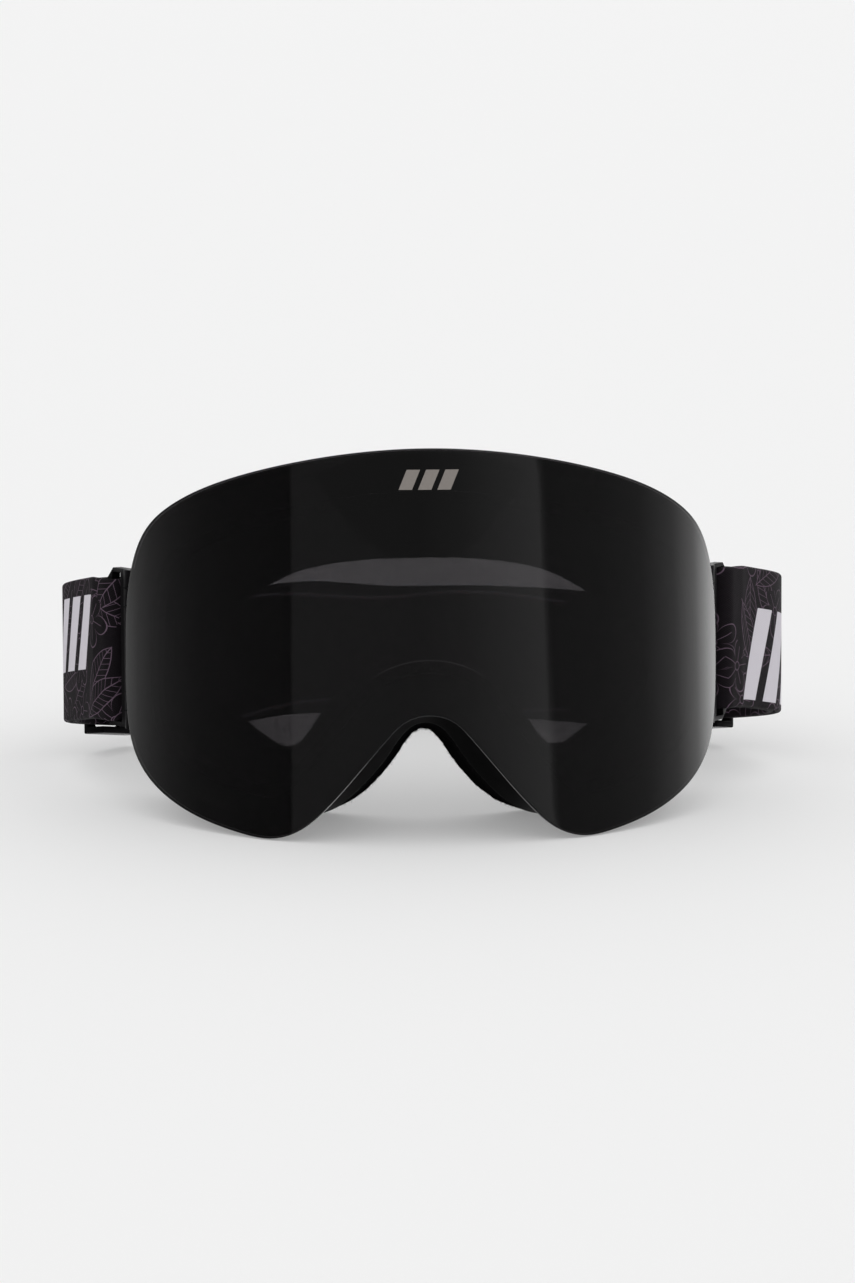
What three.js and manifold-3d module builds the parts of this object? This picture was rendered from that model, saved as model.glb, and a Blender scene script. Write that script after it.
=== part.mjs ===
// Ski goggles standing on a table: a frameless cylindrical lens held by magnets on a soft frame,
// face foam behind it, a hinged clip on each side and an elastic strap with two slide adjusters.
//
// Everything is modelled in the mask's own axes (x to the right, y from the lens towards the face,
// z up along the lens), and the whole group is then leaned back onto the table.
// "Left" is the -x side. Lengths are in millimetres and angles in degrees unless a name says otherwise.
import * as THREE from 'three';
import { mergeVertices } from 'three/addons/utils/BufferGeometryUtils.js';
import Module from 'manifold-3d';

const wasm = await Module();
wasm.setup();

// ---------- driving dimensions ----------
const GAP = 0.3; // clearance between touching pieces
const LEAN_BACK = 5; // how far the mask leans back when it stands on the table
const LENS_RADIUS = 95; // outer surface of the lens, about a vertical axis

// Depths behind the lens surface, measured towards the lens axis.
const OUTER_LENS = [0, 1.8];
const CARRIER = [2.1, 5.6];
const SPACER = [2.1, 4.3];
const INNER_LENS = [4.6, 5.6];
const FRAME_FRONT = [5.9, 9.4];
const SKIRT_FRONT = 9.7;

// Insets from the lens edge.
const CARRIER_BAND = [3.5, 11.2];
const SPACER_BAND = [11.6, 14.6];
const INNER_LENS_INSET = 11.6;
const FRAME_BAND = [3, 12.4];
const SKIRT_BAND = [4, 6.4];

// Face side: the foam follows a curve that is deepest at the temples.
const FACE_DEPTH = 40;
const FACE_RADIUS = 80;
const FOAM_BASE = 5;
const FOAM_SOFT = 8;
const FOAM_FLEECE = 2.4;
const FLANGE = 2.2;
const SKIRT_WALL = 2.2;

const MAGNET = { length: 11, width: 4.6, thickness: 1.7 };
const VENTS = {
  top: { spots: [8.5, 25.5, 42], width: 13, level: 101.5, bow: -300, middle: 0 },
  bottom: { spots: [36, 46.5, 57], width: 7.5, level: 4, bow: 90, middle: 40 },
  share: 0.52, // of the wall's length
  height: 12,
};
const TAB = { width: 14, thickness: 2.2, reach: 4.4, inset: 8.6 };

// Strap, clips and adjusters.
const STRAP_WIDTH = 40;
const STRAP_THICKNESS = 1.8;
const STRAP_CLIP_HEIGHT = 48; // middle of the strap at the clips
const LAYER_GAP = 0.4; // between the two layers of the doubled strap
const PIN = { x: 79.4, y: 54.2, radius: 1, height: 43.4 };
const KNUCKLE_RADIUS = 3.1;
const CLIP = {
  angle: 32, // from straight back, seen from above
  reach: 11.2,
  height: 44.4,
  thickness: 2.6,
  bar: 2.6,
  side: 1.2,
  spine: 5.6,
  chamfer: 3,
};
const LUG = { low: 12, high: 17, half: 3.1, root: 75 };
const LUG_PAD = [[73.3, 50.9], [75.9, 49.2], [75.9, 57.6], [74.6, 58.4]]; // foot against the frame
const STRAP_ON_TABLE = 156; // from here back, the strap's lower edge follows the table
const STRAP_START = 16.4; // distance from the pin where the fixed strap begins
const LOOP_END = 15.5; // distance from the pin where the clip's strap loop ends
const SLIDER = {
  length: 17,
  bar: 3.4,
  thickness: 1.8,
  rail: 2,
  start: 10, // its middle, from the front end of the straight stretch of strap
  under: -2.2, // outer face of the middle bar, under the strap
  room: 0.6,
  lift: 0.4,
};
const ANCHOR_THICKNESS = 1.4; // the strap's sewn end round the adjuster
const BEAD = { width: 1.2, height: 0.8, wave: 1.2, pitch: 80, reach: 52, inset: 3, step: 2.6 };

// ---------- outlines: right half, from the top centre to the middle of the nose ----------
const LENS_OUTLINE = [
  [0, 107.1], [24, 105.3], [48, 100], [66, 92.4], [77, 82.2], [81.3, 67], [82.2, 47], [81.4, 25],
  [76.6, 14.2], [66, 6.2], [52, 1.6], [42.5, 0.3], [34.5, 3.2], [26, 11.2], [13, 26.5], [6.6, 33.2],
  [0, 34.9],
];
const FOAM_OUTLINE = [
  [0, 100], [23, 98.5], [45, 93], [61, 85], [69.5, 75.5], [73, 63], [73.5, 47], [72, 27],
  [67.5, 15.5], [59.5, 8.2], [49, 4.5], [40, 3.5], [30.5, 3.6], [21.5, 7.3], [11, 18], [4.6, 27.2],
  [0, 29.2],
];
const EYE_OUTLINE = [
  [0, 76.2], [18, 75.4], [34, 72.2], [45.5, 66], [54, 59], [59.5, 52.5], [61.5, 46], [60, 39],
  [56, 33.5], [50, 28.5], [43.5, 23.6], [37.5, 20.6], [33, 22.4], [29, 28.4], [22, 38.2], [11, 43.8],
  [0, 45.6],
];
const STEPS = 4; // stations between two outline points

const rad = THREE.MathUtils.degToRad;
const FLOOR_SLOPE = Math.tan(rad(LEAN_BACK));
const FLOOR_AT_LENS = -0.91; // table height under the lens surface, in the mask's axes
const FOAM_TOTAL = FOAM_BASE + FOAM_SOFT + FOAM_FLEECE + 2 * GAP;

const point = (x, y, z) => new THREE.Vector3(x, y, z);

// ---------- meshes and booleans ----------

// Turns a mesh inside out if its faces point inwards.
function facingOut(geometry) {
  const position = geometry.getAttribute('position');
  const index = geometry.getIndex().array;
  const corner = [point(), point(), point()];
  let volume = 0;
  for (let i = 0; i < index.length; i += 3) {
    corner.forEach((c, j) => c.fromBufferAttribute(position, index[i + j]));
    volume += corner[0].dot(corner[1].clone().cross(corner[2]));
  }
  if (volume < 0) {
    for (let i = 0; i < index.length; i += 3) {
      [index[i + 1], index[i + 2]] = [index[i + 2], index[i + 1]];
    }
  }
  geometry.computeVertexNormals();
  return geometry;
}

// A closed skin through a row of sections. Every section lists its corners in the same order.
function loft(sections, closed = false) {
  const corners = sections[0].length;
  const rows = closed ? sections.length : sections.length - 1;
  const indices = [];
  for (let i = 0; i < rows; i++) {
    const here = i * corners;
    const next = ((i + 1) % sections.length) * corners;
    for (let j = 0; j < corners; j++) {
      const k = (j + 1) % corners;
      indices.push(here + j, here + k, next + k, here + j, next + k, next + j);
    }
  }
  if (!closed) {
    const last = rows * corners;
    for (let j = 1; j < corners - 1; j++) {
      indices.push(0, j + 1, j, last, last + j, last + j + 1);
    }
  }
  const geometry = new THREE.BufferGeometry();
  geometry.setAttribute('position', new THREE.Float32BufferAttribute(
    sections.flat().flatMap((p) => p.toArray()), 3));
  geometry.setIndex(indices);
  return facingOut(geometry);
}

function toSolid(geometry) {
  const bare = geometry.clone();
  bare.deleteAttribute('normal');
  bare.deleteAttribute('uv');
  const merged = mergeVertices(bare, 1e-4);
  return new wasm.Manifold(new wasm.Mesh({
    numProp: 3,
    vertProperties: new Float32Array(merged.getAttribute('position').array),
    triVerts: new Uint32Array(merged.getIndex().array),
  }));
}

function toGeometry(solid) {
  const mesh = solid.getMesh();
  const geometry = new THREE.BufferGeometry();
  geometry.setAttribute('position', new THREE.BufferAttribute(mesh.vertProperties, 3));
  geometry.setIndex(new THREE.BufferAttribute(mesh.triVerts, 1));
  geometry.computeVertexNormals();
  return geometry;
}

const join = (...parts) => toGeometry(parts.map(toSolid).reduce((a, b) => a.add(b)));

function cut(body, ...tools) {
  return toGeometry(tools.map(toSolid).reduce((a, b) => a.subtract(b), toSolid(body)));
}

// A prism: a flat outline in x and y, between two heights.
function prism(points, low, high, hole) {
  const shape = new THREE.Shape(points.map(([x, y]) => new THREE.Vector2(x, y)));
  if (hole) {
    shape.holes.push(new THREE.Path(hole.map(([x, y]) => new THREE.Vector2(x, y))));
  }
  const geometry = new THREE.ExtrudeGeometry(shape, { depth: high - low, bevelEnabled: false });
  return geometry.translate(0, 0, low);
}

function rod(x, y, radius, low, high, sides = 24) {
  const geometry = new THREE.CylinderGeometry(radius, radius, high - low, sides);
  return geometry.rotateX(Math.PI / 2).translate(x, y, (low + high) / 2);
}

// ---------- curved layers of the mask ----------

// A smooth closed outline, sampled so that outlines with the same number of points match.
function smoothOutline(half) {
  const left = half.slice(1, -1).reverse().map(([x, z]) => [-x, z]);
  const all = [...half, ...left].map(([x, z]) => point(x, z, 0));
  const curve = new THREE.CatmullRomCurve3(all, true, 'centripetal');
  const count = all.length * STEPS;
  return Array.from({ length: count }, (_, k) => curve.getPoint(k / count));
}

// The outline moved inwards by a distance, along its own normals.
function inset(outline, distance) {
  return outline.map((p, k) => {
    const before = outline[(k + outline.length - 1) % outline.length];
    const after = outline[(k + 1) % outline.length];
    const along = after.clone().sub(before).normalize();
    return point(p.x + along.y * distance, p.y - along.x * distance, 0);
  });
}

const between = (outer, inner, share) => outer.map((p, k) => p.clone().lerp(inner[k], share));

// Wraps an arc length and a height onto the lens cylinder, some depth behind its surface.
function wrap(arc, z, depth) {
  const turn = arc / LENS_RADIUS;
  const radius = LENS_RADIUS - depth;
  return point(radius * Math.sin(turn), LENS_RADIUS - radius * Math.cos(turn), z);
}

const unrolled = LENS_OUTLINE.map(([x, z]) => [LENS_RADIUS * Math.asin(x / LENS_RADIUS), z]);
const lensOutline = smoothOutline(unrolled);
const foamOutline = smoothOutline(FOAM_OUTLINE);
const eyeOutline = smoothOutline(EYE_OUTLINE);

const faceY = (x) => FACE_DEPTH + (x * x) / (2 * FACE_RADIUS);
const onLens = (p, depth) => wrap(p.x, p.y, depth);
const onFace = (p, forward) => point(p.x, faceY(p.x) - forward, p.y);

// A flat band bent round the lens cylinder.
function lensBand([edge, inner], [front, back]) {
  const outside = inset(lensOutline, edge);
  const inside = inset(lensOutline, inner);
  return loft(outside.map((p, k) => [
    onLens(p, front), onLens(p, back), onLens(inside[k], back), onLens(inside[k], front),
  ]), true);
}

// A band of foam that follows the face, between two distances in front of it.
function faceBand(front, back) {
  return loft(foamOutline.map((p, k) => [
    onFace(p, front), onFace(p, back), onFace(eyeOutline[k], back), onFace(eyeOutline[k], front),
  ]), true);
}

// A lens: upright strips between the top and bottom edges of an outline.
function lensPlate(edge, [front, back], strips = 72) {
  const outline = inset(lensOutline, edge);
  const reach = Math.max(...outline.map((p) => p.x));
  const tip = outline.find((p) => p.x === reach).y;
  const sections = [];
  for (let i = 0; i <= strips; i++) {
    const arc = reach * Math.sin(Math.PI * (i / strips - 0.5));
    const heights = [];
    outline.forEach((p, k) => {
      const q = outline[(k + 1) % outline.length];
      if ((p.x <= arc) !== (q.x <= arc)) {
        heights.push(p.y + ((q.y - p.y) * (arc - p.x)) / (q.x - p.x));
      }
    });
    const end = i === 0 || i === strips;
    const top = end ? tip + 1 : Math.max(...heights);
    const bottom = end ? tip - 1 : Math.min(...heights);
    sections.push([
      wrap(arc, bottom, front), wrap(arc, bottom, back), wrap(arc, top, back), wrap(arc, top, front),
    ]);
  }
  return loft(sections);
}

// A small block on the lens cylinder: length along the edge, width across it.
function edgeBlock(station, insetBy, depth, [length, width, thickness]) {
  const outline = inset(lensOutline, insetBy);
  const p = outline[station];
  const ahead = outline[(station + 1) % outline.length];
  const behind = outline[(station + outline.length - 1) % outline.length];
  const centre = onLens(p, depth);
  const inwards = point(0, LENS_RADIUS, centre.z).sub(centre).normalize();
  const along = onLens(ahead, depth).sub(onLens(behind, depth)).normalize();
  along.addScaledVector(inwards, -along.dot(inwards)).normalize();
  const across = inwards.clone().cross(along);
  const geometry = new THREE.BoxGeometry(length, width, thickness);
  geometry.applyMatrix4(new THREE.Matrix4().makeBasis(along, across, inwards));
  return geometry.translate(centre.x, centre.y, centre.z);
}

// ---------- lens assembly ----------
const MAGNET_STATIONS = [6, 14, 34, 43].flatMap((k) => [k, lensOutline.length - k]);
const MAGNET_INSET = 7.4;
const LENS_MAGNET_DEPTH = 4.5;
const FRAME_MAGNET_DEPTH = 7.1;
const magnetSize = [MAGNET.length, MAGNET.width, MAGNET.thickness];

// Pockets run out of the face that the magnets meet, so they are deeper than the magnets.
function magnetPockets(depth, towards) {
  const size = [MAGNET.length + 0.8, MAGNET.width + 0.8, MAGNET.thickness + 2.4];
  const centre = depth + towards * (size[2] / 2 - MAGNET.thickness / 2 - GAP);
  return MAGNET_STATIONS.map((k) => edgeBlock(k, MAGNET_INSET, centre, size));
}

// The tabs at the top and over the nose point straight back.
function locatingTabs(clearance) {
  return [lensOutline.length / 2, 0].map((station) => {
    const { x, y: z } = inset(lensOutline, TAB.inset)[station];
    const width = station ? TAB.width - 4 : TAB.width;
    const size = [width + 2 * clearance, TAB.reach + 2 * clearance, TAB.thickness + 2 * clearance];
    const geometry = new THREE.BoxGeometry(...size);
    return geometry.translate(x, CARRIER[1] - 0.8 + TAB.reach / 2, z);
  });
}

function lensCarrier() {
  const band = lensBand(CARRIER_BAND, CARRIER);
  return cut(join(band, ...locatingTabs(0)), ...magnetPockets(LENS_MAGNET_DEPTH, 1));
}

// ---------- frame ----------
function frameFront() {
  const band = lensBand(FRAME_BAND, FRAME_FRONT);
  return cut(band, ...locatingTabs(0.5), ...magnetPockets(FRAME_MAGNET_DEPTH, -1));
}

// Air windows through the top and bottom walls of the skirt.
function ventWindows() {
  return [VENTS.top, VENTS.bottom].flatMap(({ spots, width, level, bow, middle }) => {
    const both = [...spots.map((x) => -x), ...spots];
    return both.map((x) => {
      const z = level + (Math.abs(x) - middle) ** 2 / bow;
      const front = wrap(x, z, SKIRT_FRONT).y;
      const back = faceY(x) - FOAM_TOTAL - GAP - FLANGE;
      const geometry = new THREE.BoxGeometry(width, (back - front) * VENTS.share, VENTS.height);
      geometry.rotateZ(Math.atan(x / LENS_RADIUS));
      return geometry.translate(x, (front + back) / 2, z);
    });
  });
}

// The soft frame: a wall from the lens ring back to a flange that carries the face foam.
function frameSkirt() {
  const rimOut = inset(lensOutline, SKIRT_BAND[0]);
  const rimIn = inset(lensOutline, SKIRT_BAND[1]);
  const wallIn = inset(foamOutline, SKIRT_WALL);
  const flangeIn = between(eyeOutline, foamOutline, 0.14);
  const rear = FOAM_TOTAL + GAP;
  const sections = foamOutline.map((p, k) => [
    onLens(rimOut[k], SKIRT_FRONT), onFace(p, rear), onFace(flangeIn[k], rear),
    onFace(flangeIn[k], rear + FLANGE), onFace(wallIn[k], rear + FLANGE), onLens(rimIn[k], SKIRT_FRONT),
  ]);
  return cut(loft(sections, true), ...ventWindows());
}

// Thin open-cell foam that covers the air windows from inside, on a stretch of the outline.
function ventFoam(first, last) {
  const rim = inset(lensOutline, SKIRT_BAND[1] + GAP);
  const rimIn = inset(lensOutline, SKIRT_BAND[1] + GAP + 2);
  const wall = inset(foamOutline, SKIRT_WALL + GAP);
  const wallIn = inset(foamOutline, SKIRT_WALL + GAP + 2);
  const rear = FOAM_TOTAL + 2 * GAP + FLANGE;
  const sections = [];
  for (let i = first; i <= last; i++) {
    const k = (i + foamOutline.length) % foamOutline.length;
    sections.push([
      onLens(rim[k], SKIRT_FRONT + GAP), onFace(wall[k], rear),
      onFace(wallIn[k], rear), onLens(rimIn[k], SKIRT_FRONT + GAP),
    ]);
  }
  return loft(sections);
}

// ---------- strap route, seen from above: right half, from the clip to the middle back ----------
const clipWay = new THREE.Vector2(Math.sin(rad(CLIP.angle)), Math.cos(rad(CLIP.angle)));
const pinSpot = new THREE.Vector2(PIN.x, PIN.y);
const startSpot = pinSpot.clone().addScaledVector(clipWay, STRAP_START);
const sliderWay = new THREE.Vector2(-1, 1).normalize();
const straightFrom = new THREE.Vector2(93.5, 119.5);
const STRAIGHT = 44;
const straightTo = straightFrom.clone().addScaledVector(sliderWay, STRAIGHT);
const rearSpot = new THREE.Vector2(14, 169.5);
const BEND = 18; // how strongly the strap keeps its direction into a bend

function strapRoute() {
  const rearWay = new THREE.Vector2(-1, 0);
  const side = new THREE.CubicBezierCurve(
    startSpot, startSpot.clone().addScaledVector(clipWay, BEND),
    straightFrom.clone().addScaledVector(sliderWay, -BEND), straightFrom);
  const back = new THREE.CubicBezierCurve(
    straightTo, straightTo.clone().addScaledVector(sliderWay, BEND),
    rearSpot.clone().addScaledVector(rearWay, -BEND), rearSpot);
  const route = [];
  side.getSpacedPoints(12).forEach((p) => route.push(p));
  route.push(straightTo);
  back.getSpacedPoints(10).slice(1).forEach((p) => route.push(p));
  return route;
}

const halfRoute = strapRoute();
const fullRoute = [...halfRoute, ...halfRoute.map((p) => new THREE.Vector2(-p.x, p.y)).reverse()];

// The strap sinks towards the back, where its lower edge follows the table.
function strapMiddle(y) {
  const onTable = FLOOR_AT_LENS + FLOOR_SLOPE * y + STRAP_WIDTH / 2;
  const atTable = FLOOR_AT_LENS + FLOOR_SLOPE * STRAP_ON_TABLE + STRAP_WIDTH / 2;
  const fall = (STRAP_CLIP_HEIGHT - atTable) / (STRAP_ON_TABLE - startSpot.y);
  const falling = STRAP_CLIP_HEIGHT - fall * Math.max(0, y - startSpot.y);
  return Math.max(falling, onTable);
}

const strapPoint = (spot, z) => point(spot.x, spot.y, strapMiddle(spot.y) + z);

// Unit normals of a route, pointing away from the wearer's head on the right-hand route.
function routeNormals(route) {
  return route.map((_, i) => {
    const a = route[Math.max(0, i - 1)];
    const b = route[Math.min(route.length - 1, i + 1)];
    const way = b.clone().sub(a).normalize();
    return new THREE.Vector2(way.y, -way.x);
  });
}

// A ribbon along a route, between two offsets from it, with its own half width.
function ribbon(route, offsets, half) {
  const normals = routeNormals(route);
  return loft(route.map((spot, i) => {
    const [near, far] = offsets(i);
    const a = spot.clone().addScaledVector(normals[i], near);
    const b = spot.clone().addScaledVector(normals[i], far);
    return [strapPoint(a, -half), strapPoint(b, -half), strapPoint(b, half), strapPoint(a, half)];
  }));
}

// How far the layers stand apart: they open out towards the clip's bar.
const OPEN_AT_CLIP = CLIP.thickness / 2 + 0.8;
function openBy(route, i) {
  const fromClip = Math.min(i, route === fullRoute ? route.length - 1 - i : i);
  return LAYER_GAP / 2 + (OPEN_AT_CLIP - LAYER_GAP / 2) * Math.max(0, 1 - fromClip / 3) ** 2;
}

function strapOuter() {
  const layer = (i) => [openBy(fullRoute, i), openBy(fullRoute, i) + STRAP_THICKNESS];
  return ribbon(fullRoute, layer, STRAP_WIDTH / 2);
}

// The returning layer under the outer one, from the clip to the adjuster.
function strapInner() {
  const toSlider = SLIDER.start - SLIDER.length / 2 - 0.7;
  const route = [...halfRoute.slice(0, 13), straightFrom.clone().addScaledVector(sliderWay, toSlider)];
  const layer = (i) => [-openBy(route, i) - STRAP_THICKNESS, -openBy(route, i)];
  return ribbon(route, layer, STRAP_WIDTH / 2);
}

// Gently wavy grip bead on the inside of the strap, across the back of the head.
function gripBead(side) {
  const sections = [];
  const count = Math.round((2 * BEAD.reach) / BEAD.step);
  const spots = fullRoute.filter((p) => p.y > 140);
  const path = new THREE.CatmullRomCurve3(spots.map((p) => point(p.x, p.y, 0)));
  const middle = path.getLength() / 2;
  for (let i = 0; i <= count; i++) {
    const s = -BEAD.reach + (2 * BEAD.reach * i) / count;
    const at = path.getPointAt((middle + s) / (2 * middle));
    const way = path.getTangentAt((middle + s) / (2 * middle));
    const inwards = new THREE.Vector2(-way.y, way.x);
    const wave = BEAD.wave * Math.sin((2 * Math.PI * s) / BEAD.pitch);
    const z = side * (STRAP_WIDTH / 2 - BEAD.inset - wave);
    const spot = new THREE.Vector2(at.x, at.y);
    const base = spot.clone().addScaledVector(inwards, GAP - LAYER_GAP / 2);
    const crown = spot.clone().addScaledVector(inwards, GAP - LAYER_GAP / 2 + BEAD.height);
    sections.push([
      strapPoint(base, z - BEAD.width / 2), strapPoint(crown, z - BEAD.width / 4),
      strapPoint(crown, z + BEAD.width / 4), strapPoint(base, z + BEAD.width / 2),
    ]);
  }
  return loft(sections);
}

// ---------- clips: right-hand pieces, mirrored for the left ----------

// A spot beside the clip: along it from the pin, and across it.
function clipSpot(along, across) {
  return pinSpot.clone().addScaledVector(clipWay, along)
    .addScaledVector(new THREE.Vector2(clipWay.y, -clipWay.x), across);
}

function outrigger() {
  const low = STRAP_CLIP_HEIGHT - LUG.high;
  const high = STRAP_CLIP_HEIGHT + LUG.high;
  const parts = [prism(LUG_PAD, low, high)];
  const [front, back] = [PIN.y - LUG.half, PIN.y + LUG.half];
  for (const side of [-1, 1]) {
    const ends = [LUG.low, LUG.high].map((z) => STRAP_CLIP_HEIGHT + side * z).sort((a, b) => a - b);
    parts.push(prism([[LUG.root, front], [PIN.x, front], [PIN.x, back], [LUG.root, back]], ...ends));
    parts.push(rod(PIN.x, PIN.y, KNUCKLE_RADIUS, ...ends));
  }
  return cut(join(...parts), rod(PIN.x, PIN.y, PIN.radius + GAP, low - 1, high + 1));
}

// The clip's ring stands upright in the plane through its pin, with cut-off outer corners.
function strapClip() {
  const { reach, height, bar, side, spine, chamfer, thickness } = CLIP;
  const half = height / 2;
  const end = reach + bar / 2;
  const window = height / 2 - side;
  const outline = [
    [0, -half], [end - chamfer, -half], [end, chamfer - half],
    [end, half - chamfer], [end - chamfer, half], [0, half],
  ];
  const hole = [[spine, -window], [end - bar, -window], [end - bar, window], [spine, window]];
  const plate = prism(outline, -thickness / 2, thickness / 2, hole);
  const stand = new THREE.Matrix4().makeBasis(
    point(clipWay.x, clipWay.y, 0), point(0, 0, 1), point(clipWay.y, -clipWay.x, 0));
  plate.applyMatrix4(stand).translate(PIN.x, PIN.y, STRAP_CLIP_HEIGHT);
  const low = STRAP_CLIP_HEIGHT - half;
  const high = STRAP_CLIP_HEIGHT + half;
  const knuckle = rod(PIN.x, PIN.y, KNUCKLE_RADIUS, low, high);
  const tools = [rod(PIN.x, PIN.y, PIN.radius + GAP, low - 1, high + 1)];
  for (const way of [-1, 1]) {
    const middle = STRAP_CLIP_HEIGHT + (way * (LUG.low + LUG.high)) / 2;
    const room = (LUG.high - LUG.low) / 2 + GAP;
    tools.push(rod(PIN.x, PIN.y, KNUCKLE_RADIUS + 0.4, middle - room, middle + room));
    tools.push(new THREE.BoxGeometry(5, 8, 2 * room).translate(PIN.x - 2.5, PIN.y, middle));
  }
  return cut(join(plate, knuckle), ...tools);
}

// The strap where it turns back round the clip's bar.
function strapLoop() {
  const offset = OPEN_AT_CLIP + STRAP_THICKNESS / 2;
  const route = [clipSpot(LOOP_END, offset)];
  for (let i = 0; i <= 10; i++) {
    const turn = Math.PI * (i / 10 - 0.5);
    route.push(clipSpot(CLIP.reach - offset * Math.cos(turn), -offset * Math.sin(turn)));
  }
  route.push(clipSpot(LOOP_END, -offset));
  return ribbon(route, () => [-STRAP_THICKNESS / 2, STRAP_THICKNESS / 2], STRAP_WIDTH / 2);
}

// ---------- slide adjusters: right-hand pieces, mirrored for the left ----------
const acrossSlider = new THREE.Vector2(sliderWay.y, -sliderWay.x);

// A block on the straight stretch of strap: along it, across it and up.
function strapBlock([a0, a1], [n0, n1], [z0, z1]) {
  const middle = straightFrom.clone().addScaledVector(sliderWay, SLIDER.start);
  return loft([a0, a1].map((a) => [[n0, z0], [n1, z0], [n1, z1], [n0, z1]].map(([n, z]) => strapPoint(
    middle.clone().addScaledVector(sliderWay, a).addScaledVector(acrossSlider, n), z))));
}

function slider() {
  const half = SLIDER.length / 2;
  const edge = STRAP_WIDTH / 2 + SLIDER.room;
  const out = LAYER_GAP / 2 + STRAP_THICKNESS + SLIDER.lift;
  const top = out + SLIDER.thickness;
  const { under } = SLIDER;
  const rail = SLIDER.rail;
  const parts = [[-edge - rail, -edge], [edge, edge + rail]].map((span) => (
    strapBlock([-half, half], [under - SLIDER.thickness, top], span)));
  const height = [-edge - 1, edge + 1];
  parts.push(strapBlock([-half, -half + SLIDER.bar], [out, top], height));
  parts.push(strapBlock([half - SLIDER.bar, half], [out, top], height));
  parts.push(strapBlock([-SLIDER.bar / 2, SLIDER.bar / 2], [under - SLIDER.thickness, under], height));
  return join(...parts);
}

// The end of the strap, sewn round the adjuster's middle bar.
function strapAnchor() {
  const thick = ANCHOR_THICKNESS;
  const bar = SLIDER.bar / 2 + GAP;
  const half = STRAP_WIDTH / 2;
  const height = [-half, half];
  const near = [-LAYER_GAP / 2 - 0.2 - thick, -LAYER_GAP / 2 - 0.2];
  const low = SLIDER.under - SLIDER.thickness - GAP;
  const far = [low - thick, low];
  return join(
    strapBlock([-SLIDER.length / 2 - 0.3, bar + thick], near, height),
    strapBlock([bar, bar + thick], [far[0], near[1]], height),
    strapBlock([-SLIDER.length / 2 + 1, bar + thick], far, height));
}

function mirrored(geometry) {
  const copy = geometry.clone().scale(-1, 1, 1);
  if (!copy.getIndex()) {
    copy.setIndex([...Array(copy.getAttribute('position').count).keys()]);
  }
  return facingOut(copy);
}

// ---------- materials ----------
function material(color, roughness, metalness = 0) {
  return new THREE.MeshStandardMaterial({ color, roughness, metalness });
}

const tintedLens = material(0x17161a, 0.08);
tintedLens.transparent = true;
tintedLens.opacity = 0.93;
const clearLens = material(0xc9cfd4, 0.1);
clearLens.transparent = true;
clearLens.opacity = 0.35;
const hardPlastic = material(0x151417, 0.4);
const softFrame = material(0x121113, 0.6);
const ventFoamLook = material(0x1c1b1d, 0.95);
const faceFoamLook = material(0x161517, 0.95);
const fleece = material(0x0f0e10, 1);
const magnetMetal = material(0xb9bbbe, 0.3, 1);
const pinSteel = material(0xa6a8ab, 0.3, 1);
const webbing = material(0x19161a, 0.85);
const silicone = material(0xa79fab, 0.5);

// ---------- assembly ----------
const goggles = new THREE.Group();
const mask = new THREE.Group();
goggles.add(mask);

function add(name, geometry, look) {
  const mesh = new THREE.Mesh(geometry, look);
  mesh.name = name;
  mask.add(mesh);
}

function addPair(name, geometry, look) {
  add(`${name}_right`, geometry, look);
  add(`${name}_left`, mirrored(geometry), look);
}

add('outer_lens', lensPlate(0, OUTER_LENS), tintedLens);
add('lens_carrier', lensCarrier(), hardPlastic);
add('lens_spacer', lensBand(SPACER_BAND, SPACER), ventFoamLook);
add('inner_lens', lensPlate(INNER_LENS_INSET, INNER_LENS), clearLens);
MAGNET_STATIONS.forEach((station, i) => {
  const magnet = (depth) => edgeBlock(station, MAGNET_INSET, depth, magnetSize);
  add(`lens_magnet_${i + 1}`, magnet(LENS_MAGNET_DEPTH), magnetMetal);
  add(`frame_magnet_${i + 1}`, magnet(FRAME_MAGNET_DEPTH), magnetMetal);
});

add('frame_front', frameFront(), hardPlastic);
add('frame_skirt', frameSkirt(), softFrame);
const ALONG_TOP = 4 * STEPS;
const LOBE = [10 * STEPS, 12 * STEPS];
add('vent_foam_top', ventFoam(-ALONG_TOP, ALONG_TOP), ventFoamLook);
addPair('vent_foam', ventFoam(...LOBE), ventFoamLook);
const softBack = FOAM_FLEECE + GAP;
const baseBack = softBack + FOAM_SOFT + GAP;
add('foam_base', faceBand(FOAM_TOTAL, baseBack), faceFoamLook);
add('foam_soft', faceBand(baseBack - GAP, softBack), faceFoamLook);
add('foam_fleece', faceBand(FOAM_FLEECE, 0), fleece);

addPair('outrigger', outrigger(), hardPlastic);
const pinEnds = [STRAP_CLIP_HEIGHT - PIN.height / 2, STRAP_CLIP_HEIGHT + PIN.height / 2];
addPair('clip_pin', rod(PIN.x, PIN.y, PIN.radius, ...pinEnds, 16), pinSteel);
addPair('strap_clip', strapClip(), hardPlastic);
addPair('strap_loop', strapLoop(), webbing);

add('strap', strapOuter(), webbing);
addPair('strap_return', strapInner(), webbing);
addPair('slider', slider(), hardPlastic);
addPair('strap_anchor', strapAnchor(), webbing);
add('grip_bead_upper', gripBead(1), silicone);
add('grip_bead_lower', gripBead(-1), silicone);

// Lean the mask back, then set its lowest points on the table with the origin under its middle.
mask.rotation.x = -rad(LEAN_BACK);
goggles.updateMatrixWorld(true);
const bounds = new THREE.Box3().setFromObject(goggles, true);
mask.position.set(0, -(bounds.min.y + bounds.max.y) / 2, -bounds.min.z);

export default goggles;
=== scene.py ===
import math

import bmesh
import bpy
import numpy as np
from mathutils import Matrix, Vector, noise

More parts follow.
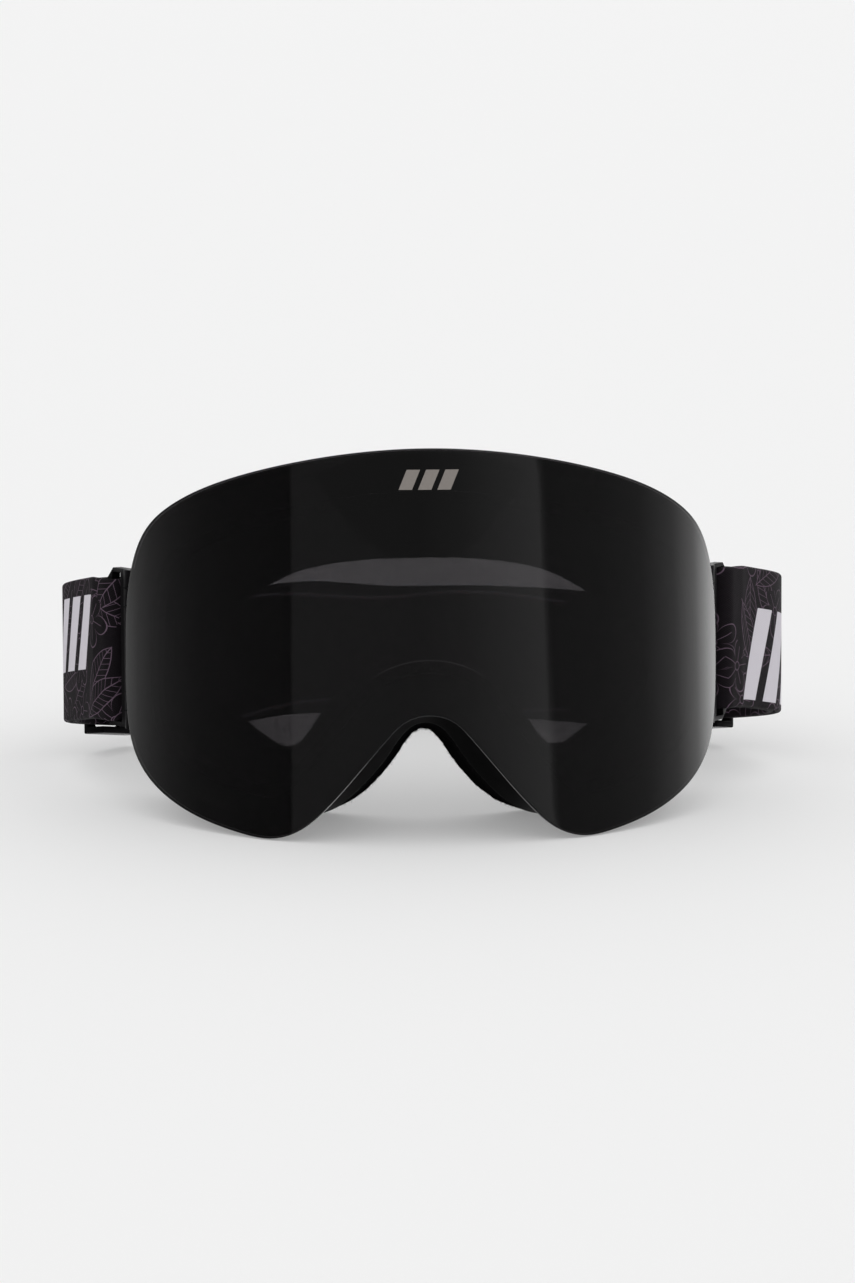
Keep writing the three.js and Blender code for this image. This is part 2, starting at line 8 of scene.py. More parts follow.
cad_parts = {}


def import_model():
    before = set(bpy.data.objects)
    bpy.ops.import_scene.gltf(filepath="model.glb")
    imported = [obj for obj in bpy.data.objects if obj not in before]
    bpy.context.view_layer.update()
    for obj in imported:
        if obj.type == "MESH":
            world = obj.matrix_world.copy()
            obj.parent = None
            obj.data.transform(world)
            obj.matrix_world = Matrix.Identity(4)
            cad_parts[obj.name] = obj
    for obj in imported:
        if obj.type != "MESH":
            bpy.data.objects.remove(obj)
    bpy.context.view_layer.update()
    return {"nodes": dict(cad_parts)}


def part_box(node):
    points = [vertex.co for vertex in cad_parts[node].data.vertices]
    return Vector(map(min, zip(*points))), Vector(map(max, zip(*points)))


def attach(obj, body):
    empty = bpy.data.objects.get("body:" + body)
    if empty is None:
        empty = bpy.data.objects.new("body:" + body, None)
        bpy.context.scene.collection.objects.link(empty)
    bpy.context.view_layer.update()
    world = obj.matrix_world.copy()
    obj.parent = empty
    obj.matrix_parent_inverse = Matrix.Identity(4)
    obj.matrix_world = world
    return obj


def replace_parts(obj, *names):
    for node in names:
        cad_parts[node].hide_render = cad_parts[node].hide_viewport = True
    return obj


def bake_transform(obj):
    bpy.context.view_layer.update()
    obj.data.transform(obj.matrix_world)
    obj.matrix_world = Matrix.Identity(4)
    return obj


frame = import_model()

# ---------- sizes, in millimetres and degrees ----------
LEAN_BACK = math.radians(5)
PIN = np.array([79.4, 54.2, 48.0])
LENS_RADIUS = 95
FACE_DEPTH = 40
FACE_RADIUS = 80

# Depths behind the lens surface.
OUTER_LENS = (0, 1.8)
BORDER_PRINT = (1.83, 1.99)
GASKET = (2.1, 4.3)
INNER_LENS = (4.6, 5.6)
SKIRT_FRONT = 9.7

# Insets from the lens edge.
BORDER_BAND = (0.5, 4.2)
SKIRT_BAND = (4.0, 6.4)
INNER_INSET = 11.6
GASKET_BAND = (11.6, 14.6)

# Distances in front of the face curve.
FOAM_FLEECE = (0.0, 2.4)
FOAM_SOFT = (2.6, 10.5)
FOAM_BASE = (10.7, 15.6)
FOAM_REAR = 16.0
FLANGE = 2.2

SKIRT_WALL = 2.2
FLANGE_REACH = 0.14  # share of the way from the eye opening to the foam's outline
VENT_THICKNESS = 2.0
VENT_GAP = 0.3  # clearance round the vent foam

# Air windows: places across, height there, how the row bows, its middle, and window width.
WINDOWS = (
    ((8.5, 25.5, 42), 101.5, -300, 0, 13),
    ((36, 46.5, 57), 4, 90, 40, 7.5),
)
WINDOW_SHARE = 0.52  # of the wall's length
WINDOW_HALF_HEIGHT = 6
WINDOW_CORNER = 1.4

# Along the outline, counted in outline points from the top centre.
NOSE_FROM, NOSE_FADE = 11.5, 2
BROW_TO, BROW_FADE = 9, 3

# How far the foam's edges move at the face.
NOSE_FLARE, NOSE_TUCK = 3.4, 1
EYE_CLOSE, BROW_CLOSE = 0.4, 1.6

# Strap.
STRAP_WIDTH = 40
STRAP_THICKNESS = 1.8
STRAP_SHIFT = 0.95  # the strap has slipped down in the left clip and up in the right one
SLIP_FADES = 55  # behind the pin, where the strap is back on its middle line
LAYER_GAP = 0.4
LAYERS_PART = 14  # length over which the two layers part towards the clip
LOOP_RADIUS = 3.0  # of the strap's middle round the clip's bar
RETURN_FROM = 34  # along the returning layer, where its sewn end takes over
REAR_RISE = 1.9  # of the strap behind on the left, which ends before the adjuster's travel
REAR_RISE_REACH = 61
BULGE_RIGHT, BULGE_LEFT = 5.0, -2.0  # how much further out the strap curves than a plain bend
BULGE_FROM, BULGE_LONG = 8, 58  # behind the pin
CLIP_WAY = np.array([math.sin(math.radians(32)), math.cos(math.radians(32))])
CLIP_REACH = 11.2
STRAP_START = 16.4
SLIDER_WAY = np.array([-1, 1]) / math.sqrt(2)
STRAIGHT_FROM = np.array([93.5, 119.5])
STRAIGHT = 44
SLIDER_AT = 10
REAR_SPOT = np.array([14, 169.5])
BEND = 18  # how strongly the strap keeps its direction into a bend
TABLE_FROM = 156  # from here back, the strap's lower edge follows the table
FLOOR_AT_LENS = -0.91
BEAD_FROM = 140
BEAD_REACH, BEAD_LEVEL, BEAD_WAVE, BEAD_PITCH = 52, 17, 1.2, 80
BEAD_HALF_WIDTH, BEAD_HEIGHT = 0.6, 0.85
BARS_LEFT = (-6.0, 15.0)  # heights between which the bold bars are printed
BARS_RIGHT = (-18.0, 8.5)
BARS_FROM, BAR_STEP, BAR_TILT = 15.0, 6.0, 0.35  # distance from the clip, half a bar's pitch, lean

LENS_OUTLINE = [
    (0, 107.1), (24, 105.3), (48, 100), (66, 92.4), (77, 82.2), (81.3, 67), (82.2, 47), (81.4, 25),
    (76.6, 14.2), (66, 6.2), (52, 1.6), (42.5, 0.3), (34.5, 3.2), (26, 11.2), (13, 26.5), (6.6, 33.2),
    (0, 34.9),
]
FOAM_OUTLINE = [
    (0, 100), (23, 98.5), (45, 93), (61, 85), (69.5, 75.5), (73, 63), (73.5, 47), (72, 27),
    (67.5, 15.5), (59.5, 8.2), (49, 4.5), (40, 3.5), (30.5, 3.6), (21.5, 7.3), (11, 18), (4.6, 27.2),
    (0, 29.2),
]
EYE_OUTLINE = [
    (0, 76.2), (18, 75.4), (34, 72.2), (45.5, 66), (54, 59), (59.5, 52.5), (61.5, 46), (60, 39),
    (56, 33.5), (50, 28.5), (43.5, 23.6), (37.5, 20.6), (33, 22.4), (29, 28.4), (22, 38.2), (11, 43.8),
    (0, 45.6),
]

# ---------- from the mask's axes to the row ----------
LEAN = np.array([
    [1, 0, 0],
    [0, math.cos(LEAN_BACK), math.sin(LEAN_BACK)],
    [0, -math.sin(LEAN_BACK), math.cos(LEAN_BACK)],
])
pin_low, pin_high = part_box("clip_pin_right")
SHIFT = np.array((Vector(pin_low) + Vector(pin_high)) / 2) * 1000 - LEAN @ PIN


def row(points):
    """Points in the mask's axes, in millimetres, as metres in the row."""
    return (np.asarray(points, float) @ LEAN.T + SHIFT) / 1000


# ---------- outlines ----------
def smooth_outline(half, steps):
    """A closed centripetal curve through the right half and its mirror image."""
    here = np.array(half + [(-x, z) for x, z in half[-2:0:-1]], float)
    before, after, beyond = (np.roll(here, -k, 0) for k in (-1, 1, 2))
    gap = np.sqrt(np.linalg.norm(after - here, axis=1))[:, None]
    gap_before, gap_after = np.roll(gap, 1, 0), np.roll(gap, -1, 0)
    leave = (here - before) / gap_before - (after - before) / (gap_before + gap) + (after - here) / gap
    arrive = (after - here) / gap - (beyond - here) / (gap + gap_after) + (beyond - after) / gap_after
    leave, arrive = leave * gap, arrive * gap
    u = (np.arange(steps) / steps)[None, :, None]
    here, after, leave, arrive = (a[:, None, :] for a in (here, after, leave, arrive))
    curve = (
        (2 * u**3 - 3 * u**2 + 1) * here + (u**3 - 2 * u**2 + u) * leave
        + (3 * u**2 - 2 * u**3) * after + (u**3 - u**2) * arrive
    )
    return curve.reshape(-1, 2)


def soften(outline, passes):
    """Takes the last small kinks out of an outline."""
    for _ in range(passes):
        outline = (np.roll(outline, 1, 0) + 2 * outline + np.roll(outline, -1, 0)) / 4
    return outline


def inset(outline, distance):
    """The outline moved inwards along its own normals; it runs clockwise."""
    along = unit(np.roll(outline, -1, 0) - np.roll(outline, 1, 0))
    return outline + np.stack([along[:, 1], -along[:, 0]], 1) * distance


def unrolled(half):
    """Lens outline points as arc lengths and heights on the lens cylinder."""
    return [(LENS_RADIUS * math.asin(x / LENS_RADIUS), z) for x, z in half]


def on_lens(points, depth):
    """Arc lengths and heights wrapped on the lens cylinder, some depth behind its surface."""
    turn = points[:, 0] / LENS_RADIUS
    radius = LENS_RADIUS - depth
    return np.stack([radius * np.sin(turn), LENS_RADIUS - radius * np.cos(turn), points[:, 1]], 1)


def on_face(points, forward):
    """Points of the foam outline on the face curve, some way in front of it."""
    x, z = points[:, 0], points[:, 1]
    return np.stack([x, FACE_DEPTH + x * x / (2 * FACE_RADIUS) - forward, z], 1)


FINE = 16  # steps from one outline point to the next
lens_edge = soften(smooth_outline(unrolled(LENS_OUTLINE), FINE), 40)
foam_edge = soften(smooth_outline(FOAM_OUTLINE, FINE), 30)
eye_edge = soften(smooth_outline(EYE_OUTLINE, FINE), 30)


# ---------- meshes ----------
def linked(name, data):
    """A new object in the scene."""
    made = bpy.data.objects.new(name, data)
    bpy.context.scene.collection.objects.link(made)
    return made


def piece(name, points, faces, look, body, smooth=True):
    """A closed mesh in the row, riding on a body."""
    mesh = bpy.data.meshes.new(name)
    mesh.from_pydata(row(points).tolist(), [], [list(f) for f in faces])
    tidy = bmesh.new()
    tidy.from_mesh(mesh)
    bmesh.ops.recalc_face_normals(tidy, faces=tidy.faces)
    tidy.to_mesh(mesh)
    tidy.free()
    if smooth:
        mesh.shade_smooth()
    mesh.materials.append(look)
    made = linked(name, mesh)
    if body:
        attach(made, body)
    return made


def even_shading(made):
    """Keeps flat faces flat beside small rounded edges."""
    made.modifiers.new("even shading", "WEIGHTED_NORMAL").keep_sharp = True
    return made


def grid_faces(rows, columns, closed_rows, closed_columns):
    """Quads of a grid of points, wrapping round where it is closed."""
    faces = []
    for i in range(rows if closed_rows else rows - 1):
        for j in range(columns if closed_columns else columns - 1):
            a, b = i * columns, ((i + 1) % rows) * columns
            k = (j + 1) % columns
            faces.append((a + j, a + k, b + k, b + j))
    return faces


def capped_faces(stations, size):
    """Faces of a skin through a row of sections, with both ends closed."""
    last = (stations - 1) * size
    return grid_faces(stations, size, False, True) + [tuple(range(size)), tuple(range(last, last + size))]


def unit(ways):
    return ways / np.linalg.norm(ways, axis=1)[:, None]


def rounded(corners, radius, steps=4, spacing=None):
    """Sections with rounded corners, from stations x corners x 3; spacing adds points to the sides."""
    count = corners.shape[1]
    out = []
    for c in range(count):
        here, before, after = corners[:, c], corners[:, c - 1], corners[:, (c + 1) % count]
        start = here + unit(before - here) * radius
        end = here + unit(after - here) * radius
        for k in range(steps + 1):
            u = k / steps
            out.append((1 - u) ** 2 * start + 2 * u * (1 - u) * here + u * u * end)
        if spacing:
            finish = after - unit(after - here) * radius
            parts = max(2, int(round(np.linalg.norm(finish - end, axis=1).mean() / spacing)))
            for k in range(1, parts):
                out.append(end + (finish - end) * k / parts)
    return np.stack(out, 1)


def ring(name, sections, look, body):
    """A closed band: every section joined to the next, all the way round."""
    stations, corners = sections.shape[:2]
    faces = grid_faces(stations, corners, True, True)
    return piece(name, sections.reshape(-1, 3), faces, look, body)


def rod(name, sections, look, body):
    """A skin through a row of sections, with both ends closed."""
    faces = capped_faces(*sections.shape[:2])
    return piece(name, sections.reshape(-1, 3), faces, look, body)


def lens_ring(name, band, depths, look, body, radius):
    """A band bent round the lens cylinder, between two insets from the lens edge."""
    outside, inside = inset(lens_edge, band[0]), inset(lens_edge, band[1])
    corners = np.stack([
        on_lens(outside, depths[0]), on_lens(outside, depths[1]),
        on_lens(inside, depths[1]), on_lens(inside, depths[0]),
    ], 1)
    return ring(name, rounded(corners, radius, 3), look, body)


# ---------- materials ----------
class Nodes:
    """A node tree and short calls that add nodes to it."""

    def __init__(self, tree):
        self.tree = tree

    def node(self, kind, values=None, **settings):
        made = self.tree.nodes.new("ShaderNode" + kind)
        for key, value in settings.items():
            setattr(made, key, value)
        for key, value in (values or {}).items():
            self.give(made.inputs[key], value)
        return made

    def give(self, socket, value):
        if isinstance(value, bpy.types.NodeSocket):
            self.tree.links.new(value, socket)
        else:
            socket.default_value = value

    def math(self, operation, a, b=0.0):
        return self.node("Math", {0: a, 1: b}, operation=operation).outputs[0]

    def times(self, a, b):
        return self.math("MULTIPLY", a, b)

    def minus(self, a, b):
        return self.math("SUBTRACT", a, b)

    def size(self, a):
        return self.math("ABSOLUTE", a)

    def within(self, value, limit, edge=0.04):
        """1 where value is under limit, with a soft edge."""
        span = {"Value": value, 1: limit - edge, 2: limit + edge, 3: 1.0, 4: 0.0}
        return self.node("MapRange", span).outputs[0]

    def object_point(self, scale):
        """Object coordinates in millimetres, times a scale."""
        return self.vectors("MULTIPLY", self.node("TexCoord").outputs["Object"], (1000 * scale,) * 3)

    def vectors(self, operation, a, b):
        return self.node("VectorMath", {0: a, 1: b}, operation=operation).outputs[0]

    def either(self, choice, a, b):
        """a where choice is 0 and b where it is 1."""
        return self.node("Mix", {0: choice, 2: a, 3: b}, data_type="FLOAT").outputs[0]

    def blended(self, factor, a, b, **settings):
        """A colour between two, which may be sockets or plain colours."""
        a, b = (c if isinstance(c, bpy.types.NodeSocket) else (*c, 1) for c in (a, b))
        return self.node("Mix", {0: factor, 6: a, 7: b}, data_type="RGBA", **settings).outputs[2]

    def noise(self, scale, detail=3.0, roughness=0.5):
        values = {"Scale": 1.0, "Detail": detail, "Roughness": roughness}
        return self.node("TexNoise", {"Vector": self.object_point(scale), **values}).outputs[0]

    def cells(self, scale):
        values = {"Vector": self.object_point(scale), "Scale": 1.0}
        return self.node("TexVoronoi", values).outputs["Distance"]


class Look(Nodes):
    """A material of one shader, and short calls that change its inputs."""

    def __init__(self, name, color, roughness, **sockets):
        self.material = bpy.data.materials.new(name)
        self.material.use_nodes = True
        super().__init__(self.material.node_tree)
        self.shader = self.tree.nodes["Principled BSDF"]
        self.shader.inputs["Base Color"].default_value = (*color, 1)
        self.shader.inputs["Roughness"].default_value = roughness
        for socket, value in sockets.items():
            self.shader.inputs[socket.replace("_", " ")].default_value = value
        self.last_normal = None

    def color_between(self, factor, dark, light):
        self.give(self.shader.inputs["Base Color"], self.blended(factor, dark, light))

    def roughness_between(self, factor, low, high):
        made = self.node("MapRange", {"Value": factor, 3: low, 4: high})
        self.give(self.shader.inputs["Roughness"], made.outputs[0])

    def bump(self, height, distance_mm):
        made = self.node("Bump", {"Height": height, "Distance": distance_mm / 1000})
        if self.last_normal:
            self.give(made.inputs["Normal"], self.last_normal)
        self.last_normal = made.outputs[0]
        self.give(self.shader.inputs["Normal"], self.last_normal)


def tinted_lens():
    look = Look("lens tint", (0.050, 0.0465, 0.049), 0.0, Transmission_Weight=1.0, IOR=1.5)
    look.bump(look.noise(0.02, 1.0), 0.02)
    look.roughness_between(look.noise(0.15, 4.0), 0.0, 0.012)
    return look.material


def lens_rim():
    look = Look("lens rim", (0.008, 0.0075, 0.0085), 0.45, Specular_IOR_Level=0.14)
    look.bump(look.noise(3.0, 2.0), 0.02)
    look.color_between(look.noise(0.4, 2.0), (0.006, 0.0055, 0.0065), (0.011, 0.0105, 0.0115))
    return look.material


def clear_lens():
    look = Look("lens clear", (0.93, 0.94, 0.95), 0.01, Transmission_Weight=1.0, IOR=1.45)
    look.roughness_between(look.noise(0.2, 3.0), 0.005, 0.04)
    return look.material


def border_print():
    look = Look("border print", (0.003, 0.003, 0.003), 0.6, Specular_IOR_Level=0.2)
    look.color_between(look.noise(0.8, 3.0), (0.0025, 0.0025, 0.0025), (0.004, 0.004, 0.004))
    return look.material


def mark_print():
    look = Look("mark print", (0.21, 0.19, 0.175), 0.4, Specular_IOR_Level=0.3)
    look.color_between(look.noise(1.5, 2.0), (0.19, 0.172, 0.158), (0.23, 0.208, 0.192))
    return look.material


def glue_with_painted_glow():
    # Painted light: besides its pale colour, the bead glows a little though it is no lamp, so that it shows
    # as a light line.
    look = Look("glue_with_painted_glow", (0.55, 0.55, 0.56), 0.4, Emission_Color=(1, 1, 1, 1), Emission_Strength=0.2)
    look.bump(look.noise(1.0, 2.0), 0.03)
    look.color_between(look.noise(0.5, 2.0), (0.45, 0.45, 0.46), (0.65, 0.65, 0.66))
    return look.material


def moulded_plastic():
    look = Look("moulded plastic", (0.004, 0.0037, 0.0042), 0.5, Specular_IOR_Level=0.04)
    look.bump(look.noise(5.0, 3.0, 0.7), 0.02)
    look.bump(look.noise(0.12, 2.0), 0.08)
    look.roughness_between(look.noise(0.5, 4.0), 0.34, 0.52)
    look.color_between(look.noise(0.3, 3.0), (0.003, 0.0027, 0.0032), (0.0055, 0.005, 0.0058))
    return look.material


def soft_frame():
    look = Look("soft frame", (0.0015, 0.0015, 0.0015), 0.65, Specular_IOR_Level=0.01)
    look.bump(look.cells(2.2), 0.03)
    look.bump(look.noise(6.0, 2.0), 0.015)
    look.roughness_between(look.noise(0.2, 3.0), 0.52, 0.68)
    look.color_between(look.noise(0.15, 3.0), (0.001, 0.001, 0.0012), (0.0025, 0.0024, 0.0025))
    return look.material


def open_foam(name, dark, light, cell):
    look = Look(name, light, 0.95, Specular_IOR_Level=0.0)
    pore_pits_and_shade = look.cells(cell)
    look.bump(pore_pits_and_shade, 0.35)
    look.bump(look.noise(cell * 2.5, 3.0), 0.1)
    # Painted shade: the colour is darker in the pits of the foam, following the bump, as if shade filled
    # its holes.
    look.color_between(pore_pits_and_shade, dark, light)
    return look.material


def fleece():
    look = Look("fleece", (0.004, 0.0038, 0.004), 1.0, Specular_IOR_Level=0.0)
    look.color_between(look.noise(0.9, 6.0, 0.75), (0.001, 0.001, 0.0011), (0.009, 0.0086, 0.0085))
    look.bump(look.noise(3.2, 6.0, 0.8), 0.4)
    return look.material


def metal(name, color, grain):
    look = Look(name, color, 0.28, Metallic=1.0)
    look.roughness_between(look.noise(grain, 4.0), 0.2, 0.4)
    look.bump(look.noise(grain * 3, 2.0), 0.01)
    return look.material


def silicone():
    look = Look("silicone", (0.15, 0.13, 0.155), 0.45, Subsurface_Weight=0.2)
    look.shader.inputs["Subsurface Scale"].default_value = 0.001
    look.bump(look.noise(2.0, 2.0), 0.02)
    look.color_between(look.noise(0.6, 2.0), (0.12, 0.1, 0.125), (0.18, 0.155, 0.185))
    return look.material


BARS, BAR_SHARE = 3, 0.66  # how many bold bars, and how much of their pitch they fill
PRINT_CELL = 17.0  # spacing of the printed flowers and leaves
LINE = 0.13  # half the width of a printed line
PETAL_ROOT, PETAL_REACH = 2.2, 5.6
FLOWER_EYE = 1.2
LEAF_REACH, LEAF_HALF_WIDTH, LEAF_STALK = 10.4, 3.8, 11.5
VEIN_STEP, VEIN_SLANT = 1.05, 0.9


def bold_bars(look, along, up):
    """Slanted bars printed near both clips; along runs from the left clip's bar to the right one's."""
    on_right = look.math("GREATER_THAN", along, STRAP_LENGTH / 2)
    from_right = look.minus(STRAP_LENGTH, along)
    from_clip = look.math("MINIMUM", along, from_right)
    low = look.either(on_right, BARS_LEFT[0], BARS_RIGHT[0])
    high = look.either(on_right, BARS_LEFT[1], BARS_RIGHT[1])
    tilt = look.either(on_right, BAR_TILT, -BAR_TILT)
    slanted = look.math("ADD", from_clip, look.times(up, tilt))
    slanted = look.minus(slanted, BARS_FROM)
    bars = look.math("PINGPONG", look.minus(slanted, BAR_STEP), BAR_STEP)
    bars = look.within(bars, BAR_STEP * BAR_SHARE)
    above = look.within(look.minus(low, up), 0.0)
    below = look.within(look.minus(up, high), 0.0)
    group = look.size(look.minus(slanted, BAR_STEP * BARS))
    reach = look.within(group, BAR_STEP * BARS)
    return look.times(look.times(bars, reach), look.times(above, below))


def drawings(look, chart, offset):
    """Line drawings of flowers and leaves, one to a cell, and the shapes that they fill.

    Each offset gives another arrangement.
    """
    cell_point = look.vectors("MULTIPLY", chart, (1 / PRINT_CELL,) * 3)
    cell_point = look.vectors("ADD", cell_point, (offset, offset / 3, 0))
    cells = look.node("TexVoronoi", {"Vector": cell_point, "Scale": 1.0, "Randomness": 0.75},
                      voronoi_dimensions="2D")
    local = look.vectors("SUBTRACT", cell_point, cells.outputs["Position"])
    local = look.vectors("MULTIPLY", local, (PRINT_CELL,) * 3)
    chance = look.node("SeparateXYZ", {0: cells.outputs["Color"]})
    turn = look.times(chance.outputs[0], 2 * math.pi)
    local = look.node("VectorRotate", {"Vector": local, "Angle": turn}, rotation_type="Z_AXIS").outputs[0]
    is_flower = look.math("GREATER_THAN", chance.outputs[1], 0.5)
    leaf_lines, leaf_shape = leaf(look, local)
    flower_lines, flower_shape = flower(look, local)
    lines = look.either(is_flower, leaf_lines, flower_lines)
    return lines, look.either(is_flower, leaf_shape, flower_shape)


def flower(look, local):
    """Five petals with a rib each, round an eye: the lines, and the shape inside them."""
    spot = look.node("SeparateXYZ", {0: local})
    radius = look.node("VectorMath", {0: local}, operation="LENGTH").outputs["Value"]
    angle = look.times(look.math("ARCTAN2", spot.outputs[1], spot.outputs[0]), 2.5)
    swell = look.math("POWER", look.size(look.math("COSINE", angle)), 0.5)
    petal = look.math("ADD", look.times(swell, PETAL_REACH), PETAL_ROOT)
    outline = look.within(look.size(look.minus(radius, petal)), LINE * 1.4)
    eye = look.within(look.size(look.minus(radius, FLOWER_EYE)), LINE)
    rib = look.times(look.size(look.math("SINE", angle)), radius)
    rib = look.within(rib, LINE * 1.8)
    rib = look.times(rib, look.math("GREATER_THAN", radius, FLOWER_EYE + 0.2))
    rib = look.times(rib, look.math("LESS_THAN", radius, PETAL_REACH))
    lines = look.math("MAXIMUM", look.math("MAXIMUM", outline, eye), rib)
    return lines, look.math("LESS_THAN", radius, petal)


def leaf(look, local):
    """A pointed leaf with a middle rib and slanted veins: the lines, and the shape inside them."""
    spot = look.node("SeparateXYZ", {0: local})
    x, y = spot.outputs[0], spot.outputs[1]
    side = look.size(y)
    reach = look.math("DIVIDE", x, LEAF_REACH)
    blade = look.minus(1.0, look.times(reach, reach))
    blade = look.times(blade, LEAF_HALF_WIDTH)
    edge = look.within(look.size(look.minus(side, blade)), LINE)
    inside = look.math("LESS_THAN", side, blade)
    on_stalk = look.math("LESS_THAN", look.size(x), LEAF_STALK)
    middle = look.times(look.within(side, LINE), on_stalk)
    veins = look.minus(x, look.times(side, VEIN_SLANT))
    veins = look.math("PINGPONG", veins, VEIN_STEP)
    veins = look.times(look.within(veins, LINE * 0.7), inside)
    return look.math("MAXIMUM", look.math("MAXIMUM", edge, middle), veins), inside


CHART_UNIT = 100  # millimetres of strap to one unit of its chart
WEFT_PITCH, WARP_PITCH = 0.8, 0.65
SECOND_SET = 437.0  # offset of the drawings that show between the first ones


def webbing():
    """Woven elastic with fine printed flowers and leaves, and bold slanted bars between two heights;
    painted shade darkens the dips of the weave.
    """
    look = Look("webbing", (0.008, 0.006, 0.008), 0.82, Specular_IOR_Level=0.12)
    chart = look.node("UVMap", uv_map="strap").outputs[0]
    chart = look.vectors("MULTIPLY", chart, (CHART_UNIT, CHART_UNIT, 0))
    part = look.node("SeparateXYZ", {0: chart})
    along, up = part.outputs[0], part.outputs[1]

    front_lines, front_shapes = drawings(look, chart, 0.0)
    back_lines, _ = drawings(look, chart, SECOND_SET)
    back_lines = look.times(back_lines, look.minus(1.0, front_shapes))
    lines = look.math("MAXIMUM", front_lines, back_lines)
    outer = look.node("Attribute", attribute_name="outer_face").outputs["Fac"]
    lines = look.times(lines, outer)

    weft = look.math("SINE", look.times(along, 2 * math.pi / WEFT_PITCH))
    warp = look.math("SINE", look.times(up, 2 * math.pi / WARP_PITCH))
    weave = look.times(weft, warp)
    # Painted shade: the colour follows the weave's bump, lighter on the raised yarns and darker in the
    # dips.
    weave_shade = look.node("MapRange", {"Value": weave, 1: -1.0, 2: 1.0}).outputs[0]
    worn = look.blended(look.noise(0.4, 4.0), (0.006, 0.0045, 0.006), (0.011, 0.008, 0.011))
    painted_weave_shade = look.blended(weave_shade, (0.55, 0.55, 0.55), (1.3, 1.3, 1.3))
    ground = look.blended(1.0, worn, painted_weave_shade, blend_type="MULTIPLY")
    printed = look.blended(lines, ground, (0.105, 0.072, 0.1))
    bars = look.times(bold_bars(look, along, up), outer)
    # The bars' print colour carries the same painted weave shade.
    ink_with_weave_shade = look.blended(weave_shade, (0.52, 0.5, 0.54), (0.66, 0.63, 0.68))
    look.give(look.shader.inputs["Base Color"], look.blended(bars, printed, ink_with_weave_shade))
    look.bump(weave, 0.06)
    look.bump(look.noise(0.35, 4.0), 0.12)
    return look.material


LENS_TINT = tinted_lens()
LENS_RIM = lens_rim()
LENS_CLEAR = clear_lens()
BORDER = border_print()
MARK = mark_print()
GLUE_WITH_PAINTED_GLOW = glue_with_painted_glow()
PLASTIC = moulded_plastic()
SOFT = soft_frame()
# Each foam's first colour is the painted shade in its open cells, the second the colour of its cell walls.
VENT = open_foam("vent foam", (0.002, 0.002, 0.002), (0.012, 0.0115, 0.0125), 1.6)
FOAM = open_foam("face foam", (0.001, 0.001, 0.0011), (0.007, 0.0067, 0.007), 2.6)
BASE_FOAM = open_foam("base foam", (0.0015, 0.0015, 0.0016), (0.01, 0.0096, 0.01), 3.4)
FLEECE = fleece()
NICKEL = metal("nickel", (0.6, 0.6, 0.61), 1.2)
STEEL = metal("steel", (0.55, 0.56, 0.57), 2.0)
SILICONE = silicone()

# ---------- lenses ----------
LENS_ROUNDING = 0.3


def lens_plate(name, edge_inset, depths, looks, columns, rows):
    """A plate bent round the lens cylinder, with rounded edges. looks are for its faces and its edge."""
    outline = inset(lens_edge, edge_inset)
    tip_right, tip_left = int(np.argmax(outline[:, 0])), int(np.argmin(outline[:, 0]))
    top = np.concatenate([outline[tip_left:], outline[:tip_right + 1]])
    bottom = outline[tip_right:tip_left + 1][::-1]
    across = outline[tip_right, 0] * np.sin(np.linspace(-math.pi / 2, math.pi / 2, columns + 2)[1:-1])
    high = np.stack([across, np.interp(across, top[:, 0], top[:, 1])], 1)
    low = np.stack([across, np.interp(across, bottom[:, 0], bottom[:, 1])], 1)
    left, right = outline[tip_left:tip_left + 1], outline[tip_right:tip_right + 1]
    loop = np.concatenate([left, high, right, low[::-1]])
    front, back = depths
    r = LENS_ROUNDING
    turns = np.linspace(0, math.pi / 2, 5)
    profile = [(r * (1 - math.sin(a)), front + r * (1 - math.cos(a))) for a in turns]
    profile += [(r * (1 - math.cos(a)), back - r * (1 - math.sin(a))) for a in turns]
    size = len(loop)
    points = [on_lens(inset(loop, d), depth) for d, depth in profile]
    faces = grid_faces(len(profile), size, False, True)
    edge_faces = len(faces)
    start = len(profile) * size
    for level, depth in ((0, front), (len(profile) - 1, back)):
        flat = inset(loop, r)
        upper, lower = flat[1:columns + 1], flat[columns + 2:][::-1]
        rim = level * size
        index = np.empty((rows + 1, columns), int)
        index[0] = rim + columns + 2 + np.arange(columns)[::-1]
        index[rows] = rim + 1 + np.arange(columns)
        for j in range(1, rows):
            points.append(on_lens(lower + (upper - lower) * j / rows, depth))
            index[j] = start + np.arange(columns)
            start += columns
        for j in range(rows):
            for i in range(columns - 1):
                faces.append((index[j, i], index[j, i + 1], index[j + 1, i + 1], index[j + 1, i]))
            faces.append((rim, index[j, 0], index[j + 1, 0]))
            faces.append((rim + columns + 1, index[j + 1, columns - 1], index[j, columns - 1]))
    made = piece(name, np.concatenate(points), faces, looks[0], "lens")
    made.data.materials.append(looks[1])
    for face in made.data.polygons[:edge_faces]:
        face.material_index = 1
    return even_shading(made)


def lens_mark():
    """Three small slanted bars printed at the top of the lens."""
    height, width, gap, slant, middle = 5.4, 3.6, 1.6, 2.2, 98.6
    points, faces = [], []
    for i in range(3):
        left = (i - 1) * (width + gap) - width / 2
        corners = []
        for x, z in ((0, -1), (1, -1), (1, 1), (0, 1)):
            corners.append((left + x * width + slant * z / 2, middle + z * height / 2))
        for depth in (-0.02, -0.08):
            points.append(on_lens(np.array(corners), depth))
        faces += [tuple(i * 8 + k for k in f) for f in (
            (0, 1, 2, 3), (4, 5, 6, 7), (0, 1, 5, 4), (1, 2, 6, 5), (2, 3, 7, 6), (3, 0, 4, 7))]
    return piece("lens_mark", np.concatenate(points), faces, MARK, "lens", smooth=False)


GLUE_REACH, GLUE_FADE = 17, 6  # half its length, and how far its thin ends go
GLUE_INSET, GLUE_DEPTH, GLUE_RADIUS = 14.9, 2.3, 0.16


